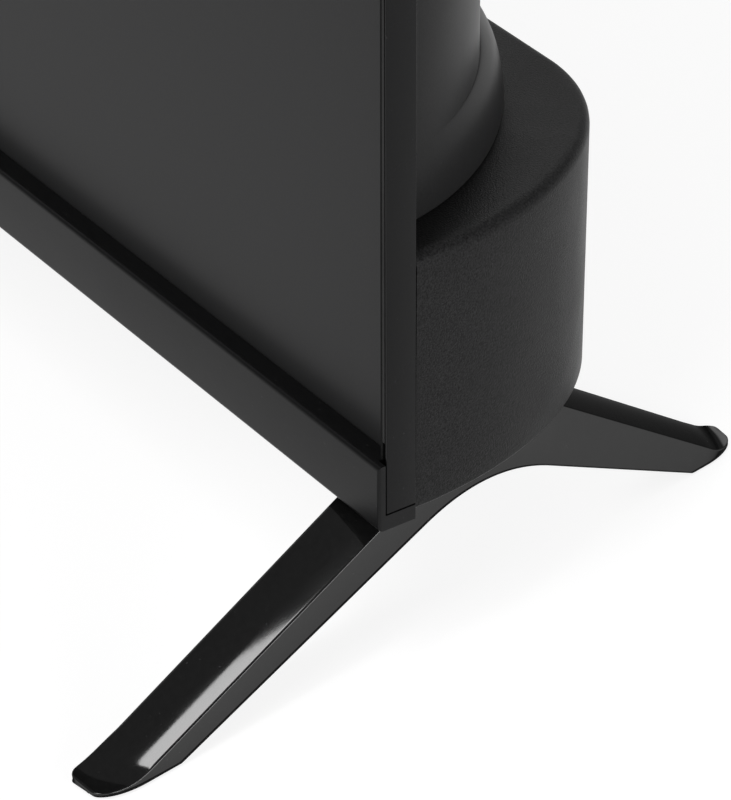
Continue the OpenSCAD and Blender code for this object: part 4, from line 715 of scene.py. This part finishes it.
# painted shade: three thin matte black bars between the panel frame's lip and the picture, up both sides and
# across the top, standing in for the shadowed gap there
gapShade = dict(lip=0.9, gap=0.02, wide=0.78, setBack=0.14, low=0.3)
frameLow, frameHigh = nodeBox("panel_frame")
gapShadeOut = frameHigh[0] - gapShade["lip"] - gapShade["gap"]
gapShadeIn = gapShadeOut - gapShade["wide"]
gapShadeTop = frameHigh[2] - gapShade["lip"] - gapShade["gap"]
gapShadeFront, gapShadeBack = frameLow[1] + gapShade["setBack"], screenLow[1] - gapShade["gap"]
gapShadeLow = bezelHigh[2] + gapShade["low"]
gapShadeBars = [((gapShadeIn, gapShadeLow), (gapShadeOut, gapShadeTop)),
              ((-gapShadeOut, gapShadeLow), (-gapShadeIn, gapShadeTop)),
              ((-gapShadeIn, gapShadeTop - gapShade["wide"]), (gapShadeIn, gapShadeTop))]
gapShadePiece = makePiece("paintedGapShade", *joinShapes([
    boxShape((low[0], gapShadeFront, low[1]), (high[0], gapShadeBack, high[1])) for low, high in gapShadeBars]))
# the dark matte rubber finish makes these bars a painted shade line along the gap
gapShadePiece.data.materials.append(finishes["pad_rubber"])
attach(gapShadePiece, "tv")


# button cap: a block with rounded upright corners and a rounded lower edge, as rings going up, on a plate
def makeButton():
    turn = quarterTurn(button["steps"])
    corner, edge = button["corner"], button["round"]
    arcs = [np.column_stack([np.cos(turn + k * np.pi / 2), np.sin(turn + k * np.pi / 2)]) for k in range(4)]
    signs = [(1, 1), (-1, 1), (-1, -1), (1, -1)]
    core = np.array([button["wide"], button["deep"]]) / 2 - corner
    levels = [(edge * (1 - math.cos(a)), edge * (1 - math.sin(a))) for a in turn]
    levels.append((button["high"] - button["plate"], 0.0))
    rings = []
    for z, inset in levels:
        ring = np.vstack([core * sign + (corner - inset) * arc for arc, sign in zip(arcs, signs)])
        rings.append(np.column_stack([buttonMid[:2] + ring, np.full(len(ring), buttonLow[2] + z)]))
    cap = ringMesh(np.array(rings))
    plate = boxShape((buttonLow[0], buttonLow[1], buttonHigh[2] - button["plate"]), tuple(buttonHigh))
    return makePiece("powerButtonCap", *joinShapes([cap, plate]))


finishPiece(makeButton(), ["power_button"], button["sharp"], body="button")
print("stage: front pieces made")

# CAD nodes that stay as they are: finishes, and soft edges in millimetres on the ones in view
soft = {"panel_frame": 0.15, "socket_bay": 0.4, "inlet_bay": 0.4, "video_sockets": 0.15, "data_socket": 0.15,
        "network_socket": 0.2, "aerial_socket": 0.15, "audio_jack": 0.2, "ac_inlet": 0.3,
        "wall_mount_posts": 0.3, "foot_pads": 0.2, "ir_window": 0.15, "cover_screws": 0.2,
        "foot_screws": 0.2, "housing_screws": 0.2}
softLook = dict(weld=2e-6, angle=50.0)
for node, item in frame["nodes"].items():
    if item.hide_render:
        continue
    item.data.materials.clear()
    item.data.materials.append(finishes[nodeSlot[node]])
    if node in soft:
        weld = item.modifiers.new("weld", "WELD")
        weld.merge_threshold = softLook["weld"]
        softenEdges(item, soft[node], softLook["angle"])
print("stage: carried nodes finished")

# floor: darker with a lift of its own light for rays that see it, plain pale for the light that it sends on
floorLook = dict(size=12.0, colour=0.8, shade=0.24, lift=0.84, rough=0.9)
floorMesh = bpy.data.meshes.new("floor")
reach = floorLook["size"] / 2
floorMesh.from_pydata([(-reach, -reach, 0), (reach, -reach, 0), (reach, reach, 0), (-reach, reach, 0)], [],
                      [(0, 1, 2, 3)])
floor = bpy.data.objects.new("floor", floorMesh)
scene.collection.objects.link(floor)
floorMaterial = bpy.data.materials.new("floorPaper")
floorMaterial.use_nodes = True
tree = floorMaterial.node_tree
shader = tree.nodes["Principled BSDF"]
shader.inputs["Roughness"].default_value = floorLook["rough"]
shader.inputs["Specular IOR Level"].default_value = 0.0
shader.inputs["Emission Color"].default_value = (1, 1, 1, 1)
path = addNode(tree, "ShaderNodeLightPath")
seen = addNode(tree, "ShaderNodeMath", operation="MAXIMUM")
seenAll = addNode(tree, "ShaderNodeMath", operation="MAXIMUM")
tree.links.new(path.outputs["Is Camera Ray"], seen.inputs[0])
tree.links.new(path.outputs["Is Glossy Ray"], seen.inputs[1])
tree.links.new(seen.outputs[0], seenAll.inputs[0])
tree.links.new(path.outputs["Is Transmission Ray"], seenAll.inputs[1])
seenRay = seenAll.outputs[0]
tree.links.new(mapRange(tree, seenRay, 0, 1, floorLook["colour"], floorLook["shade"]),
               shader.inputs["Base Color"])
tree.links.new(mapRange(tree, seenRay, 0, 1, 0, floorLook["lift"]), shader.inputs["Emission Strength"])
floorMesh.materials.append(floorMaterial)

# world: pale at the horizon, dim overhead, with a soft bright patch in between at the back left
sky = dict(horizon=0.6, ceiling=0.18, ease=(0.08, 0.34), rise=(0.3, 0.4), fall=(0.56, 0.79),
           back=(-0.35, 0.25), left=(-0.1, -0.5), glow=2.1)
world = bpy.data.worlds.new("studio")
scene.world = world
world.use_nodes = True
tree = world.node_tree
direction = addNode(tree, "ShaderNodeTexCoord")
split = addNode(tree, "ShaderNodeSeparateXYZ")
band = addNode(tree, "ShaderNodeMath", operation="MULTIPLY")
patch = addNode(tree, "ShaderNodeMath", operation="MULTIPLY")
total = addNode(tree, "ShaderNodeMath", operation="MULTIPLY_ADD")
tree.links.new(direction.outputs["Generated"], split.inputs[0])
height = split.outputs["Z"]
tree.links.new(mapRange(tree, height, *sky["rise"], 0, 1), band.inputs[0])
tree.links.new(mapRange(tree, height, *sky["fall"], 1, 0), band.inputs[1])
tree.links.new(band.outputs[0], patch.inputs[0])
tree.links.new(mapRange(tree, split.outputs["X"], *sky["left"], 0, 1), patch.inputs[1])
tree.links.new(patch.outputs[0], total.inputs[0])
tree.links.new(mapRange(tree, split.outputs["Y"], *sky["back"], 0, sky["glow"]), total.inputs[1])
tree.links.new(mapRange(tree, height, *sky["ease"], sky["horizon"], sky["ceiling"]), total.inputs[2])
tree.links.new(total.outputs[0], tree.nodes["Background"].inputs["Strength"])
tree.nodes["Background"].inputs["Color"].default_value = (1, 1, 1, 1)

# lamps: place and aim in metres, turn in degrees, size, radiance
lamps = {
    "overhead": dict(at=(0.491, -0.509, 1.4), aim=(0.491, -0.509, 0.0), turn=22.0, size=(0.2, 0.6),
                     radiance=11.5),
    "frontSoft": dict(at=(0.9, -1.9, 1.9), aim=(0.2, -0.3, 0.0), turn=0.0, size=(1.4, 1.4), radiance=5.0),
    "rightSoft": dict(at=(2.2, 0.25, 0.5), aim=(0.3, 0.02, 0.15), turn=0.0, size=(1.2, 0.6), radiance=10.0),
}
for name, lamp in lamps.items():
    data = bpy.data.lights.new(name, "AREA")
    data.shape = "RECTANGLE"
    data.size, data.size_y = lamp["size"]
    data.energy = lamp["radiance"] * math.pi * lamp["size"][0] * lamp["size"][1]
    item = bpy.data.objects.new(name, data)
    item.location = lamp["at"]
    facing = (Vector(lamp["aim"]) - Vector(lamp["at"])).to_track_quat("-Z", "Y")
    item.rotation_euler = (facing @ Quaternion((0, 0, 1), math.radians(lamp["turn"]))).to_euler()
    scene.collection.objects.link(item)

# camera: angles in degrees, offset in millimetres from the frame's lower right rear corner, clip in metres
shot = dict(azimuth=55.0, elevation=32.93, roll=-0.22, offset=(715.3, -514.3, 602.0), lens=216.0, sensor=36.0,
            clip=50.0)
azimuth, elevation, roll = (math.radians(shot[k]) for k in ("azimuth", "elevation", "roll"))
right = Vector((math.cos(azimuth), math.sin(azimuth), 0))
away = Vector((math.sin(azimuth) * math.cos(elevation), -math.cos(azimuth) * math.cos(elevation),
               math.sin(elevation)))
up = away.cross(right)
turnRight = right * math.cos(roll) + up * math.sin(roll)
turnUp = up * math.cos(roll) - right * math.sin(roll)
cameraData = bpy.data.cameras.new("camera")
cameraData.lens, cameraData.sensor_width, cameraData.clip_end = shot["lens"], shot["sensor"], shot["clip"]
camera = bpy.data.objects.new("camera", cameraData)
turned = Matrix((turnRight, turnUp, away)).transposed().to_4x4()
corner = Vector((halfWidth, frameBack, baseZ))
camera.matrix_world = Matrix.Translation((corner + Vector(shot["offset"])) * mm) @ turned
scene.collection.objects.link(camera)
scene.camera = camera
print("stage: floor, light and camera made")
